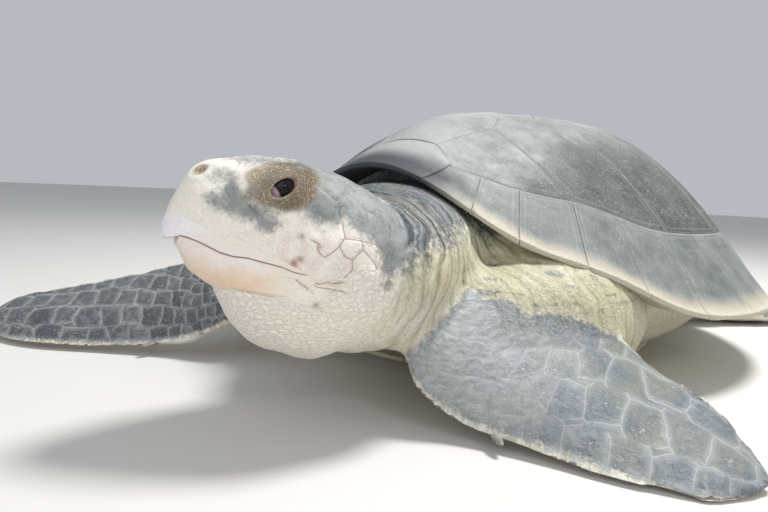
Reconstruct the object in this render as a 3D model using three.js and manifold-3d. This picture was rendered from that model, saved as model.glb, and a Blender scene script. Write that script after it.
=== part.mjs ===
// A Kemp's ridley sea turtle, adult female, life size, lying on its plastron with the head raised
// and turned to its right. Millimetres, +Z up. While it is modelled the turtle faces -Y, its left
// side is +X, and the floor is z = 0; the group is centred over its bounding box at the end.
import * as THREE from "three";
import { mergeVertices } from "three/addons/utils/BufferGeometryUtils.js";
import Module from "manifold-3d";

const wasm = await Module();
wasm.setup();

// ---------------------------------------------------------------- driving dimensions
const GAP = 0.3; // between neighbouring nodes
const DEG = Math.PI / 180;
const AROUND_SHELL = 30; // faces round the carapace, the trunk and the plastron

const SHELL = {
  halfWidth: 293,
  halfLength: 308,
  rearTaper: 0.06, // share of the half-width lost at the tail
  top: 258, // crown of the carapace
  rimFront: 188, // height of the rim over the neck
  rimSide: 70,
  rimRearDrop: 12,
  rimFade: 29, // degrees over which the front rim comes down
  arch: 19, // extra height of the rim over each shoulder
  archAt: 39,
  archWidth: 13,
  fullness: 2.83, // how far the crown keeps its height
  flare: 1.27, // how far the marginals flatten out
  plate: 6, // thickness of the scutes
  border: 0.81, // share of the radius where the marginals begin
  underside: 0.85, // share of the radius where the marginals end below
};

// Outline as shares of the shell's half-width and half-length.
const PLASTRON = { halfWidth: 0.59, front: 0.77, rear: 0.78, squareness: 2.4, thickness: 8 };

// The mass of muscle between the shoulders, and how far its foot clears the plastron.
const GIRDLE = { centre: [0, -200, 92], radii: [170, 92, 82], clear: 4 };

const HEAD = {
  centre: [24, -435, 124],
  yaw: 36, // degrees to the turtle's right
  pitch: 10, // degrees nose up
  back: -62, // ends of the head, along its own axis
  front: 81,
  nape: 8, // how far the nape is rounded out past the back
  eyeAlong: 20,
  eyeUp: 38,
  eyeInset: 9.4, // depth of the eyeball's centre below the skin
  eyeRadius: 12.5,
  orbit: { along: 25, across: 14, up: 19, rise: 3.2 }, // radii, and how far it stands out
  lids: { halfLength: 9, halfHeight: 7, slant: -38 },
};

// A fore flipper is thick near the elbow and along its leading edge, like a wing.
const BLADE = { thickAtElbow: 46, thickAtTip: 7, thinning: 0.6, fullness: 0.62, falloff: 0.62, edge: 1.2 };
const CLAW = { at: 0.4, length: 17, rooted: 7, radius: 4, hook: 0.5 };

// ---------------------------------------------------------------- helpers
const lerp = THREE.MathUtils.lerp;
const clamp = THREE.MathUtils.clamp;
const vec = (x, y, z) => new THREE.Vector3(x, y, z);

// A smooth function through a few [position, value] pairs, with no overshoot between them.
function profile(...pairs) {
  const last = pairs.length - 1;
  const slope = pairs.map((_, i) => {
    const before = pairs[Math.max(0, i - 1)];
    const here = pairs[i];
    const after = pairs[Math.min(last, i + 1)];
    const s0 = i > 0 ? (here[1] - before[1]) / (here[0] - before[0]) : 0;
    const s1 = i < last ? (after[1] - here[1]) / (after[0] - here[0]) : 0;
    if (i === 0) return s1;
    if (i === last) return s0;
    return s0 * s1 <= 0 ? 0 : (2 * s0 * s1) / (s0 + s1);
  });
  return (x) => {
    const at = clamp(x, pairs[0][0], pairs[last][0]);
    let i = 0;
    while (i < last - 1 && at > pairs[i + 1][0]) i++;
    const h = pairs[i + 1][0] - pairs[i][0];
    const t = (at - pairs[i][0]) / h;
    const [t2, t3] = [t * t, t * t * t];
    return (
      (2 * t3 - 3 * t2 + 1) * pairs[i][1] +
      (t3 - 2 * t2 + t) * h * slope[i] +
      (3 * t2 - 2 * t3) * pairs[i + 1][1] +
      (t3 - t2) * h * slope[i + 1]
    );
  };
}

// A closed body: a sphere whose rings are moved to place(angle, t), t from 0 at one pole to 1.
function blob(around, along, place) {
  const geometry = new THREE.SphereGeometry(1, around, along);
  const position = geometry.attributes.position;
  for (let ring = 0; ring <= along; ring++) {
    for (let i = 0; i <= around; i++) {
      const angle = (2 * Math.PI * (i % around)) / around;
      const p = place(angle, ring / along);
      position.setXYZ(ring * (around + 1) + i, p.x, p.y, p.z);
    }
  }
  return solidOf(geometry);
}

function solidOf(geometry) {
  const bare = geometry.clone();
  bare.deleteAttribute("normal");
  bare.deleteAttribute("uv");
  const merged = mergeVertices(bare, 1e-3);
  const made = new wasm.Manifold(
    new wasm.Mesh({
      numProp: 3,
      vertProperties: merged.attributes.position.array,
      triVerts: new Uint32Array(merged.index.array),
    }),
  );
  return made.volume() < 0 ? solidOf(turned(geometry)) : made;
}

// The same geometry with each face turned round.
function turned(geometry) {
  const copy = geometry.clone();
  const index = copy.index.array;
  for (let i = 0; i < index.length; i += 3) {
    [index[i + 1], index[i + 2]] = [index[i + 2], index[i + 1]];
  }
  return copy;
}

const largest = (solid) => solid.decompose().reduce((a, b) => (a.volume() > b.volume() ? a : b));
const aboveFloor = (solid) => solid.trimByPlane([0, 0, 1], 0);

const group = new THREE.Group();
const materials = {};
function material(name, color, roughness) {
  materials[name] = new THREE.MeshStandardMaterial({ name, color, roughness, metalness: 0 });
}
material("skin", 0xa9aa9a, 0.6);
material("pale_skin", 0xd9d0ae, 0.6);
material("horn", 0xe0cdb4, 0.45);
material("scute", 0x8c9290, 0.55);
material("rim", 0xb4ae9a, 0.5);
material("plastron", 0xe3d9b8, 0.5);
material("eye", 0x16130f, 0.08);
material("claw", 0x5d564a, 0.4);

function add(name, solid, materialName) {
  const whole = largest(solid);
  const mesh = whole.getMesh();
  const geometry = new THREE.BufferGeometry();
  const vertices = new Float32Array(mesh.numVert * 3);
  for (let i = 0; i < mesh.numVert; i++) {
    const from = i * mesh.numProp;
    vertices.set(mesh.vertProperties.subarray(from, from + 3), i * 3);
  }
  geometry.setAttribute("position", new THREE.BufferAttribute(vertices, 3));
  geometry.setIndex(new THREE.BufferAttribute(new Uint32Array(mesh.triVerts), 1));
  geometry.computeVertexNormals();
  const made = new THREE.Mesh(geometry, materials[materialName]);
  made.name = name;
  group.add(made);
}

// ---------------------------------------------------------------- carapace surface
// Places on the shell are an angle in degrees from the nose end and a share of the radius.
function rimHeight(degrees) {
  const d = Math.abs(degrees);
  const front = (SHELL.rimFront - SHELL.rimSide) * Math.exp(-((d / SHELL.rimFade) ** 2));
  const arch = SHELL.arch * Math.exp(-(((d - SHELL.archAt) / SHELL.archWidth) ** 2));
  return SHELL.rimSide + front + arch - SHELL.rimRearDrop * clamp((d - 90) / 90, 0, 1);
}

function planAt(degrees, share) {
  const [sine, cosine] = [Math.sin(degrees * DEG), Math.cos(degrees * DEG)];
  const taper = 1 - SHELL.rearTaper * Math.max(0, -cosine) ** 1.5;
  return [SHELL.halfWidth * sine * share * taper, -SHELL.halfLength * cosine * share];
}

function domeAt(degrees, share, lower = 0) {
  const [x, y] = planAt(degrees, share);
  const rise = Math.max(0, 1 - share ** SHELL.fullness) ** SHELL.flare;
  const rim = rimHeight(degrees);
  return vec(x, y, rim + (SHELL.top - rim) * rise - lower);
}

function rimPoint(degrees, share, above) {
  const [x, y] = planAt(degrees, share);
  return vec(x, y, rimHeight(degrees) + above);
}

// Height of the body wall's foot line, as a share of the radius: the plastron's outline.
function plastronShare(degrees) {
  const [sine, cosine] = [Math.abs(Math.sin(degrees * DEG)), Math.cos(degrees * DEG)];
  const end = cosine > 0 ? PLASTRON.front : PLASTRON.rear;
  const n = PLASTRON.squareness;
  return ((sine / PLASTRON.halfWidth) ** n + (Math.abs(cosine) / end) ** n) ** (-1 / n);
}

// Paths from the crown out to the rim and on, for the outside of the scutes and for their inside.
const TOP_SHARES = [0, 0.27, 0.48, 0.65, 0.79, 0.91];
const INNER_SHARES = [0, 0.5, 0.86];
const perHalfWidth = (millimetres) => millimetres / SHELL.halfWidth;

function outsidePath(grow) {
  const wider = 1 + perHalfWidth(grow);
  const path = TOP_SHARES.map((share) => (angle) => domeAt(angle, share * wider, -grow));
  path.push((angle) => rimPoint(angle, wider, 1.5 + grow));
  path.push((angle) => rimPoint(angle, wider - 0.006, -3.5 - grow));
  path.push((angle) => rimPoint(angle, SHELL.underside - perHalfWidth(grow), -5 - grow));
  return path;
}

function insidePath(gap) {
  const path = INNER_SHARES.map((share) => (angle) => domeAt(angle, share, SHELL.plate + 1.7 * gap));
  path.push((angle) => rimPoint(angle, 0.93 - perHalfWidth(3 * gap), 2.5 + 0.5 * gap));
  path.push((angle) => rimPoint(angle, SHELL.underside - perHalfWidth(gap), 1.5 + 2 * gap));
  return path;
}

// The body wall between the rim and the plastron, down to a given height over the floor.
function wallPath(grow, foot) {
  const wall = (share, drop) => (angle) => {
    const at = lerp(SHELL.underside, plastronShare(angle), share) + perHalfWidth(grow);
    return rimPoint(angle, at, -rimHeight(angle) * drop);
  };
  const skirt = (angle) => {
    const [x, y] = planAt(angle, plastronShare(angle) + 0.012 + perHalfWidth(grow));
    return vec(x, y, PLASTRON.thickness + 10);
  };
  const sole = (angle) => {
    const [x, y] = planAt(angle, plastronShare(angle) + perHalfWidth(grow));
    return vec(x, y, foot);
  };
  return [wall(0.3, 0.28), wall(0.62, 0.6), skirt, sole, () => vec(0, 0, foot)];
}

function alongPath(path) {
  return (angle, t) => path[Math.round(t * (path.length - 1))](180 - angle / DEG);
}

function shellOfRevolution(path) {
  return blob(AROUND_SHELL, path.length - 1, alongPath(path));
}

function girdle(grow) {
  const radii = GIRDLE.radii.map((radius) => radius + grow);
  const sphere = new THREE.SphereGeometry(1, 14, 8).scale(...radii).translate(...GIRDLE.centre);
  return solidOf(sphere).trimByPlane([0, 0, 1], PLASTRON.thickness + GIRDLE.clear - grow);
}

const trunkFoot = PLASTRON.thickness + GAP;
const shell = shellOfRevolution([...outsidePath(0), ...insidePath(0).reverse()]);
const trunk = shellOfRevolution([...insidePath(3 * GAP), ...wallPath(0, trunkFoot)].reverse());
const shellRoom = shellOfRevolution([...outsidePath(2 * GAP), ...insidePath(0).reverse()]);
const trunkRoom = shellOfRevolution([...insidePath(0), ...wallPath(GAP, -GAP)].reverse());
const bodyRoom = shellRoom.add(trunkRoom).add(girdle(GAP));

function plastronPlate() {
  const levels = [
    [0, PLASTRON.thickness],
    [0.985, PLASTRON.thickness],
    [0.99, PLASTRON.thickness * 0.5],
    [0.97, 0],
    [0, 0],
  ];
  return blob(AROUND_SHELL, levels.length - 1, (angle, t) => {
    const [scale, z] = levels[Math.round(t * (levels.length - 1))];
    const degrees = 180 - angle / DEG;
    const [x, y] = planAt(degrees, plastronShare(degrees) * scale);
    return vec(x, y, z);
  });
}

// ---------------------------------------------------------------- scutes of the carapace
// Places are [across, back] shares of the half-width and half-length, on the left side.
const ROW = {
  seams: [[0.1, -0.81], [0.135, -0.45], [0.125, -0.13], [0.11, 0.17], [0.095, 0.46]],
  corners: [[0.172, -0.57], [0.2, -0.29], [0.195, 0.03], [0.17, 0.34]],
  costalEnds: [12, 36, 60, 84, 120, 168], // degrees at which costal seams reach the marginals
};
const MARGINAL_SEAMS = [8.5, 17.5, 25, 36, 46.5, 59, 74, 91, 109, 127, 145, 162.5, 180];
const CUT_HEIGHT = 400;
const HALF_SEAM = GAP / 2 + 0.1;
const BEYOND = 1.12; // past the rim, so that a cut clears it
const BORDER_STEP = 12; // degrees between points of the marginals' inner border

const onDisc = (degrees, share) => [Math.sin(degrees * DEG) * share, -Math.cos(degrees * DEG) * share];
const borderShare = (degrees) => SHELL.border + 0.1 * Math.exp(-((degrees / 20) ** 2));
const onBorder = (degrees) => onDisc(degrees, borderShare(degrees));

// The border between two angles, with points at the same places whichever plate asks for them.
function borderPoints(from, to) {
  const [low, high] = [Math.min(from, to), Math.max(from, to)];
  const points = [onBorder(low)];
  for (let d = Math.floor(low / BORDER_STEP + 1) * BORDER_STEP; d < high; d += BORDER_STEP) {
    points.push(onBorder(d));
  }
  points.push(onBorder(high));
  return from < to ? points : points.reverse();
}

const flat = (points) => points.map(([x, y]) => new THREE.Vector2(x, y));

// An outline with every side moved in, for half the gap between two scutes.
function inset(points, by) {
  const turning = THREE.ShapeUtils.area(flat(points)) > 0 ? 1 : -1;
  const sides = points.map(([x, y], i) => {
    const [nextX, nextY] = points[(i + 1) % points.length];
    const length = Math.hypot(nextX - x, nextY - y);
    return { x: (-turning * (nextY - y)) / length, y: (turning * (nextX - x)) / length };
  });
  return points.map(([x, y], i) => {
    const [before, after] = [sides[(i + points.length - 1) % points.length], sides[i]];
    const reach = by / (1 + before.x * after.x + before.y * after.y);
    return [x + (before.x + after.x) * reach, y + (before.y + after.y) * reach];
  });
}

// The part of a solid that stands over an outline given on the unit disc.
function cutOut(solid, outline, side) {
  const placed = outline.map(([x, y]) => [side * x * SHELL.halfWidth, y * SHELL.halfLength]);
  const shape = new THREE.Shape(flat(inset(placed, HALF_SEAM)));
  const prism = new THREE.ExtrudeGeometry(shape, { depth: CUT_HEIGHT, bevelEnabled: false });
  return solid.intersect(solidOf(prism));
}

const mirrored = (outline) => [...outline, ...outline.map(([x, y]) => [-x, y]).reverse()];

function addVertebrals() {
  for (let i = 0; i < 5; i++) {
    const rear = i < 4 ? [ROW.corners[i], ROW.seams[i + 1]] : borderPoints(ROW.costalEnds[5], 179.5);
    add(`vertebral_${i + 1}`, cutOut(shell, mirrored([ROW.seams[i], ...rear]), 1), "scute");
  }
}

// A costal lies between the vertebral row and the border; the last one reaches the row's end.
function costalOutline(i) {
  const [from, to] = [ROW.costalEnds[i], ROW.costalEnds[i + 1]];
  const first = i === 0 ? [] : [ROW.corners[i - 1]];
  const last = i === 4 ? [] : [ROW.corners[i]];
  return [...first, ROW.seams[i], ...last, ...borderPoints(to, from)];
}

function addCostals(side, name) {
  for (let i = 0; i < 5; i++) {
    add(`costal_${name}_${i + 1}`, cutOut(shell, costalOutline(i), side), "scute");
  }
}

function addMarginals(side, name) {
  for (let i = 0; i < 12; i++) {
    const [from, to] = [MARGINAL_SEAMS[i], MARGINAL_SEAMS[i + 1]];
    const rim = [onDisc(from, BEYOND), onDisc((from + to) / 2, BEYOND * 1.02), onDisc(to, BEYOND)];
    const outline = [...rim, ...borderPoints(to, i === 0 ? ROW.costalEnds[0] : from)];
    add(`marginal_${name}_${i + 1}`, cutOut(shell, outline, side), "rim");
  }
}

function addNuchal() {
  const rim = [onDisc(0, BEYOND), onDisc(MARGINAL_SEAMS[0], BEYOND)];
  const half = [...rim, onBorder(ROW.costalEnds[0]), ROW.seams[0]];
  add("nuchal", cutOut(shell, mirrored(half).slice(0, -1), 1), "scute");
}

// ---------------------------------------------------------------- head
// Along is forward from the head's centre, up and half-width are across it.
const headTop = profile(
  [-62, 38], [-48, 46], [-33, 52], [-12, 56.5], [8, 58], [32, 56],
  [50, 51], [63, 46], [70, 41], [75, 32], [79, 17], [81, 4],
);
const headBottom = profile(
  [-62, -48], [-44, -60], [-20, -68.5], [4, -66], [25, -56], [38, -41],
  [46, -31], [52, -28], [61, -22], [67, -13], [73, -5], [81, 2],
);
const headWidth = profile(
  [-62, 52], [-47, 59], [-30, 62], [-10, 60.5], [10, 54], [30, 45],
  [50, 34], [63, 26], [71, 20], [77, 13], [81, 5],
);
const headFrame = new THREE.Matrix4()
  .makeTranslation(...HEAD.centre)
  .multiply(new THREE.Matrix4().makeRotationZ(-HEAD.yaw * DEG))
  .multiply(new THREE.Matrix4().makeBasis(vec(0, -1, 0), vec(1, 0, 0), vec(0, 0, 1)))
  .multiply(new THREE.Matrix4().makeRotationY(-HEAD.pitch * DEG));
const inHead = (along, left, up) => vec(along, left, up).applyMatrix4(headFrame);

const power = (x, exponent) => Math.sign(x) * Math.abs(x) ** exponent;

function headSection(along, angle, grow) {
  const [side, rise] = [Math.cos(angle), Math.sin(angle)];
  const above = rise > 0;
  const roundness = above ? 2 / 2.5 : 2 / 2.1;
  const middle = lerp(4, -2, (HEAD.front - along) / (HEAD.front - HEAD.back));
  const reach = above ? headTop(along) - middle : middle - headBottom(along);
  return {
    left: (headWidth(along) + grow) * power(side, roundness),
    up: middle + (reach + grow) * power(rise, roundness),
  };
}

// Rings stand closer together at the beak and the nape, so that both ends close round.
function headBody(grow) {
  return blob(20, 14, (angle, t) => {
    const eased = 0.5 - 0.5 * Math.cos(Math.PI * t);
    const mixed = lerp(t, eased, 0.72);
    const along = lerp(HEAD.back - grow, HEAD.front + grow, mixed);
    if (t === 0) return inHead(HEAD.back - HEAD.nape - grow, 0, -2);
    if (t === 1) return inHead(HEAD.front + 1 + grow, 0, 4);
    const { left, up } = headSection(along, angle, grow);
    return inHead(along, left, up);
  });
}

// Turns a shape drawn as [along, up] and extruded to run across the head.
const acrossBasis = new THREE.Matrix4().makeBasis(vec(1, 0, 0), vec(0, 0, 1), vec(0, -1, 0));

function skinBesideEye() {
  let angle = 0;
  while (headSection(HEAD.eyeAlong, angle, 0).up < HEAD.eyeUp) angle += 0.005;
  return headSection(HEAD.eyeAlong, angle, 0).left;
}
const eyeAcross = skinBesideEye() - HEAD.eyeInset;

const LID_CUT = 60; // longer than from the eye to the skin
const HEAD_CUT = 200; // wider than the head

// A swelling of the skin round the eye, which the lids open in.
function orbit(side) {
  const { along, across, up, rise } = HEAD.orbit;
  const swelling = new THREE.SphereGeometry(1, 10, 6).scale(along, across, up);
  const outwards = eyeAcross + HEAD.eyeInset - across + rise;
  swelling.translate(HEAD.eyeAlong, side * outwards, HEAD.eyeUp);
  return solidOf(swelling.applyMatrix4(headFrame));
}

function lidOpening(side) {
  const { halfLength, halfHeight, slant } = HEAD.lids;
  const outline = new THREE.Shape();
  const [eyeAlong, eyeUp] = [HEAD.eyeAlong, HEAD.eyeUp];
  outline.absellipse(eyeAlong, eyeUp, halfLength, halfHeight, 0, 2 * Math.PI, false, slant * DEG);
  const settings = { depth: LID_CUT, bevelEnabled: false, curveSegments: 4 };
  const prism = new THREE.ExtrudeGeometry(outline, settings);
  prism.translate(0, 0, side > 0 ? -LID_CUT - eyeAcross : eyeAcross).applyMatrix4(acrossBasis);
  return solidOf(prism.applyMatrix4(headFrame));
}

function eyeball(side, grow) {
  const sphere = new THREE.SphereGeometry(HEAD.eyeRadius + grow, 10, 8);
  const centre = inHead(HEAD.eyeAlong, side * eyeAcross, HEAD.eyeUp);
  return solidOf(sphere.translate(centre.x, centre.y, centre.z));
}

// A side outline in the head's own frame, [along, up], run right across the head.
function acrossHead(outline, shiftAlong = 0, shiftUp = 0) {
  const moved = outline.map(([along, up]) => [along + shiftAlong, up + shiftUp]);
  const settings = { depth: HEAD_CUT, bevelEnabled: false };
  const slab = new THREE.ExtrudeGeometry(new THREE.Shape(flat(moved)), settings);
  slab.translate(0, 0, -HEAD_CUT / 2).applyMatrix4(acrossBasis);
  return solidOf(slab.applyMatrix4(headFrame));
}

// The horny beak: its mouth line, and the borders of its upper and of its lower half.
const MOUTH = [[8, -8.5], [24, -7], [54, -5.2], [70, -2.6], [76, -4.5], [100, -6]];
const UPPER_BORDER = [[100, 15], [78, 14], [49, 9.5], [22, 3], [6, -6]];
const LOWER_BORDER = [[12, -13], [24, -21], [42, -29], [52, -60], [100, -60]];
const raised = (points, by) => points.map(([along, up]) => [along, up + by]);
const upperBeakOutline = [...raised(MOUTH, GAP / 2), ...UPPER_BORDER];
const lowerBeakOutline = [...raised(MOUTH, -GAP / 2).reverse(), ...LOWER_BORDER];

// ---------------------------------------------------------------- neck and limbs
// Closes both ends of a body round: 1 along most of it, 0 at t = 0 and t = 1.
const roundEnds = (t, abruptness) => Math.sqrt(Math.max(0, 1 - Math.abs(2 * t - 1) ** abruptness));

// A body along a smooth path: each ring is an ellipse with its own half-width, top and bottom.
function limb(around, along, points, sideways, sizes, grow = 0) {
  const path = new THREE.CatmullRomCurve3(points.map((p) => vec(...p)));
  return blob(around, along, (angle, t) => {
    const at = path.getPoint(t);
    const forward = path.getTangent(t);
    const side = vec(...sideways).projectOnPlane(forward).normalize();
    const up = new THREE.Vector3().crossVectors(forward, side);
    if (up.z < 0) up.negate();
    const size = sizes(t);
    const cap = roundEnds(t, 12);
    const rise = Math.sin(angle) > 0 ? size.top : size.bottom;
    return at
      .addScaledVector(side, (size.half + grow) * Math.cos(angle) * cap)
      .addScaledVector(up, (rise + grow) * Math.sin(angle) * cap);
  });
}

function neckBody(grow) {
  const back = (along, up) => inHead(along, 0, up).toArray();
  const points = [back(-20, -6), back(-50, -7), [42, -348, 112], [14, -290, 112], [0, -215, 110]];
  const half = profile([0, 52], [0.28, 60], [0.5, 66], [0.75, 82], [1, 92]);
  const top = profile([0, 46], [0.28, 50], [0.5, 54], [0.75, 59], [1, 55]);
  const bottom = profile([0, 52], [0.28, 55], [0.5, 58], [0.75, 68], [1, 72]);
  const sizes = (t) => ({ half: half(t), top: top(t), bottom: bottom(t) });
  return limb(16, 7, points, [1, 0, 0], sizes, grow);
}

const ARMS = {
  left: [[70, -105, 70], [128, -165, 64], [142, -215, 66], [122, -280, 66], [94, -335, 66]],
  right: [[-70, -105, 70], [-128, -165, 64], [-148, -214, 66], [-146, -262, 68], [-128, -300, 72]],
};

function armBody(side, grow) {
  const half = profile([0, 45], [0.3, 68], [0.52, 64], [0.8, 44], [1, 32]);
  const tall = profile([0, 48], [0.3, 60], [0.52, 58], [0.8, 46], [1, 32]);
  const sizes = (t) => ({ half: half(t), top: tall(t), bottom: tall(t) });
  return limb(16, 8, ARMS[side], side === "left" ? [1, 0.3, 0] : [-1, 0.3, 0], sizes, grow);
}

// A fore flipper: a blade between a leading edge on the floor and a trailing edge that stands up.
const BLADES = {
  left: {
    lead: [
      [72, -372, 66], [96, -382, 34], [132, -377, 14], [187, -374, 7],
      [240, -375, 3], [281, -366, 2], [308, -334, 2],
    ],
    trail: [
      [84, -340, 96], [110, -330, 97], [134, -302, 86], [172, -264, 74],
      [214, -252, 54], [276, -284, 29], [311, -320, 5],
    ],
  },
  right: {
    lead: [
      [-100, -322, 62], [-128, -344, 36], [-172, -362, 17], [-228, -392, 8],
      [-300, -430, 6], [-360, -436, 5], [-414, -420, 4],
    ],
    trail: [
      [-120, -286, 92], [-160, -288, 94], [-214, -306, 84], [-272, -338, 66],
      [-336, -372, 48], [-384, -397, 34], [-418, -413, 8],
    ],
  },
};
for (const blade of Object.values(BLADES)) {
  blade.leadPath = new THREE.CatmullRomCurve3(blade.lead.map((p) => vec(...p)));
  blade.trailPath = new THREE.CatmullRomCurve3(blade.trail.map((p) => vec(...p)));
}

function bladeSection(side, t) {
  const lead = BLADES[side].leadPath.getPoint(t);
  const trail = BLADES[side].trailPath.getPoint(t);
  const forward = BLADES[side].leadPath.getTangent(t);
  const chord = lead.distanceTo(trail);
  const across = trail.clone().sub(lead).normalize();
  const normal = new THREE.Vector3().crossVectors(forward, across).normalize();
  if (normal.z < 0) normal.negate();
  const thick = lerp(BLADE.thickAtElbow, BLADE.thickAtTip, t ** BLADE.thinning);
  return { lead, forward, across, normal, chord, thick };
}

function bladeBody(side, grow = 0) {
  return blob(14, 11, (angle, t) => {
    const { lead, across, normal, chord, thick } = bladeSection(side, t);
    const cap = roundEnds(t, 14);
    const share = 0.5 - 0.5 * Math.cos(angle); // 0 at the leading edge, 1 at the trailing one
    const wing = thick * BLADE.fullness * (1 - BLADE.falloff * share);
    const half = (wing * Math.abs(Math.sin(angle)) + BLADE.edge + grow) * Math.sin(angle);
    const reach = (share - 0.5) * (chord + 2 * grow) * cap + chord / 2;
    return lead.addScaledVector(across, reach).addScaledVector(normal, half * cap);
  });
}

const HIND = {
  left: {
    thigh: [[90, 165, 68], [148, 205, 56], [194, 240, 44], [220, 268, 32]],
    foot: [[192, 236, 36], [226, 276, 20], [252, 316, 12], [268, 364, 7]],
    across: [1, -0.62, 0],
  },
  right: {
    thigh: [[-90, 165, 68], [-146, 208, 56], [-186, 246, 44], [-206, 280, 32]],
    foot: [[-184, 244, 36], [-210, 290, 20], [-228, 332, 12], [-238, 380, 7]],
    across: [-1, -0.42, 0],
  },
};

function thighBody(side, grow) {
  const size = profile([0, 44], [0.4, 48], [0.75, 42], [1, 33]);
  const sizes = (t) => ({ half: size(t), top: size(t) * 0.85, bottom: size(t) * 0.85 });
  return limb(14, 6, HIND[side].thigh, HIND[side].across, sizes, grow);
}

function hindBody(side, grow = 0) {
  const half = profile([0, 35], [0.3, 41], [0.65, 51], [0.86, 43], [1, 25]);
  const tall = profile([0, 26], [0.3, 19], [0.6, 11], [1, 4]);
  const sizes = (t) => ({ half: half(t), top: tall(t), bottom: tall(t) });
  return limb(12, 7, HIND[side].foot, HIND[side].across, sizes, grow);
}

function tailBody() {
  const size = profile([0, 34], [0.45, 25], [0.8, 13], [1, 6]);
  const sizes = (t) => ({ half: size(t), top: size(t) * 0.8, bottom: size(t) * 0.8 });
  const points = [[0, 190, 48], [0, 250, 42], [0, 300, 32], [0, 338, 21]];
  return limb(12, 5, points, [1, 0, 0], sizes);
}

// A claw on the leading edge: a short cone that points out and towards the tip.
function clawBody(side) {
  const { lead, forward, across } = bladeSection(side, CLAW.at);
  const outward = across.clone().setZ(0).normalize().negate();
  outward.addScaledVector(forward, CLAW.hook).normalize();
  const cone = new THREE.ConeGeometry(CLAW.radius, CLAW.length, 8);
  cone.translate(0, CLAW.length / 2 - CLAW.rooted, 0);
  cone.applyQuaternion(new THREE.Quaternion().setFromUnitVectors(vec(0, 1, 0), outward));
  return solidOf(cone.translate(lead.x, lead.y, Math.max(lead.z, CLAW.radius + 1)));
}

// ---------------------------------------------------------------- assembly
const sockets = eyeball(1, GAP).add(eyeball(-1, GAP)).add(lidOpening(1)).add(lidOpening(-1));
const wholeHead = headBody(0).add(orbit(1)).add(orbit(-1)).subtract(sockets);
const upperBeak = acrossHead(upperBeakOutline);
const lowerBeak = acrossHead(lowerBeakOutline);
const room = (outline) =>
  acrossHead(outline, GAP, GAP)
    .add(acrossHead(outline, -GAP, -GAP))
    .add(acrossHead(outline, GAP, -GAP))
    .add(acrossHead(outline, -GAP, GAP));

add("head", wholeHead.subtract(room(upperBeakOutline)).subtract(room(lowerBeakOutline)), "pale_skin");
add("beak_upper", wholeHead.intersect(upperBeak), "horn");
add("beak_lower", wholeHead.intersect(lowerBeak), "horn");
add("eye_left", eyeball(1, 0), "eye");
add("eye_right", eyeball(-1, 0), "eye");

add("neck", neckBody(0).subtract(headBody(GAP)).subtract(bodyRoom), "pale_skin");
add("trunk", trunk.add(girdle(0).subtract(shellRoom)), "pale_skin");

for (const side of ["left", "right"]) {
  const arm = armBody(side, 0).subtract(neckBody(GAP)).subtract(headBody(GAP));
  add(`upper_arm_${side}`, aboveFloor(arm.subtract(bodyRoom)), "skin");
  const claw = clawBody(side);
  const blade = bladeBody(side).subtract(armBody(side, GAP)).subtract(neckBody(GAP));
  add(`fore_flipper_${side}`, aboveFloor(blade), "skin");
  add(`claw_${side}`, claw.subtract(bladeBody(side, GAP)), "claw");
  add(`thigh_${side}`, aboveFloor(thighBody(side, 0).subtract(bodyRoom)), "skin");
  add(`hind_flipper_${side}`, aboveFloor(hindBody(side).subtract(thighBody(side, GAP))), "skin");
}
add("plastron", plastronPlate(), "plastron");
add("tail", tailBody().subtract(bodyRoom), "skin");

addNuchal();
addVertebrals();
for (const [side, name] of [[1, "left"], [-1, "right"]]) {
  addCostals(side, name);
  addMarginals(side, name);
}

const box = new THREE.Box3().setFromObject(group);
group.position.set(-(box.min.x + box.max.x) / 2, -(box.min.y + box.max.y) / 2, -box.min.z);

export default group;
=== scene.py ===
"""The looks of a life-size Kemp's ridley sea turtle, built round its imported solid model.

The forms are worked out in millimetres in the turtle's own frame: it faces -Y, its left side is
+X, the floor is z = 0 and the middle of the shell is the origin. They are moved into the model's
frame, in metres, when a mesh is placed.
"""

from __future__ import annotations

import logging
import math
from dataclasses import dataclass, field
from enum import Enum, IntEnum
from functools import reduce
from typing import Callable, Sequence

import bmesh
import bpy
import numpy as np
from mathutils import Matrix, Vector
from mathutils.kdtree import KDTree


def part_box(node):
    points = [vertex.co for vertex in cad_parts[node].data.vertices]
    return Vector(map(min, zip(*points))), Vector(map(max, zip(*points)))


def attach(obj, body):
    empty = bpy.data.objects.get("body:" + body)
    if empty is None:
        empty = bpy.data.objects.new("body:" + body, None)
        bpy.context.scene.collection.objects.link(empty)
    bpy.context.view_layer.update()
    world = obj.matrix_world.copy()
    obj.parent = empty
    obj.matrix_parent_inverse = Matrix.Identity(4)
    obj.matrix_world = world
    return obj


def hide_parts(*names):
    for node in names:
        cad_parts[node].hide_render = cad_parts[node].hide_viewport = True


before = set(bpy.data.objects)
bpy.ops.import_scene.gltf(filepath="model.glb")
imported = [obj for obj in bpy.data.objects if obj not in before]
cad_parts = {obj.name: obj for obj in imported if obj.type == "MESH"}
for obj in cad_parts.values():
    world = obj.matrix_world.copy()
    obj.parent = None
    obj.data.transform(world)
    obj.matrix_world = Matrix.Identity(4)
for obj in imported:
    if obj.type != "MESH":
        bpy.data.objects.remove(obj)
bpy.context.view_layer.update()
LOG = logging.getLogger("turtle")
MM = 0.001

Array = np.ndarray
Line = Sequence[tuple[float, float]]
Placer = Callable[[Array, Array], Array]
Piece = bpy.types.Object
Mesh = bpy.types.Mesh
Material = bpy.types.Material
Node = bpy.types.Node
Socket = bpy.types.NodeSocket
Tree = bpy.types.NodeTree


class Side(Enum):
    """One side of the animal, with the sign of its X."""

    LEFT = 1
    RIGHT = -1

    @property
    def word(self) -> str:
        """The side's name in the names of nodes."""
        return self.name.lower()


# ------------------------------------------------------------------ curves and places


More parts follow.
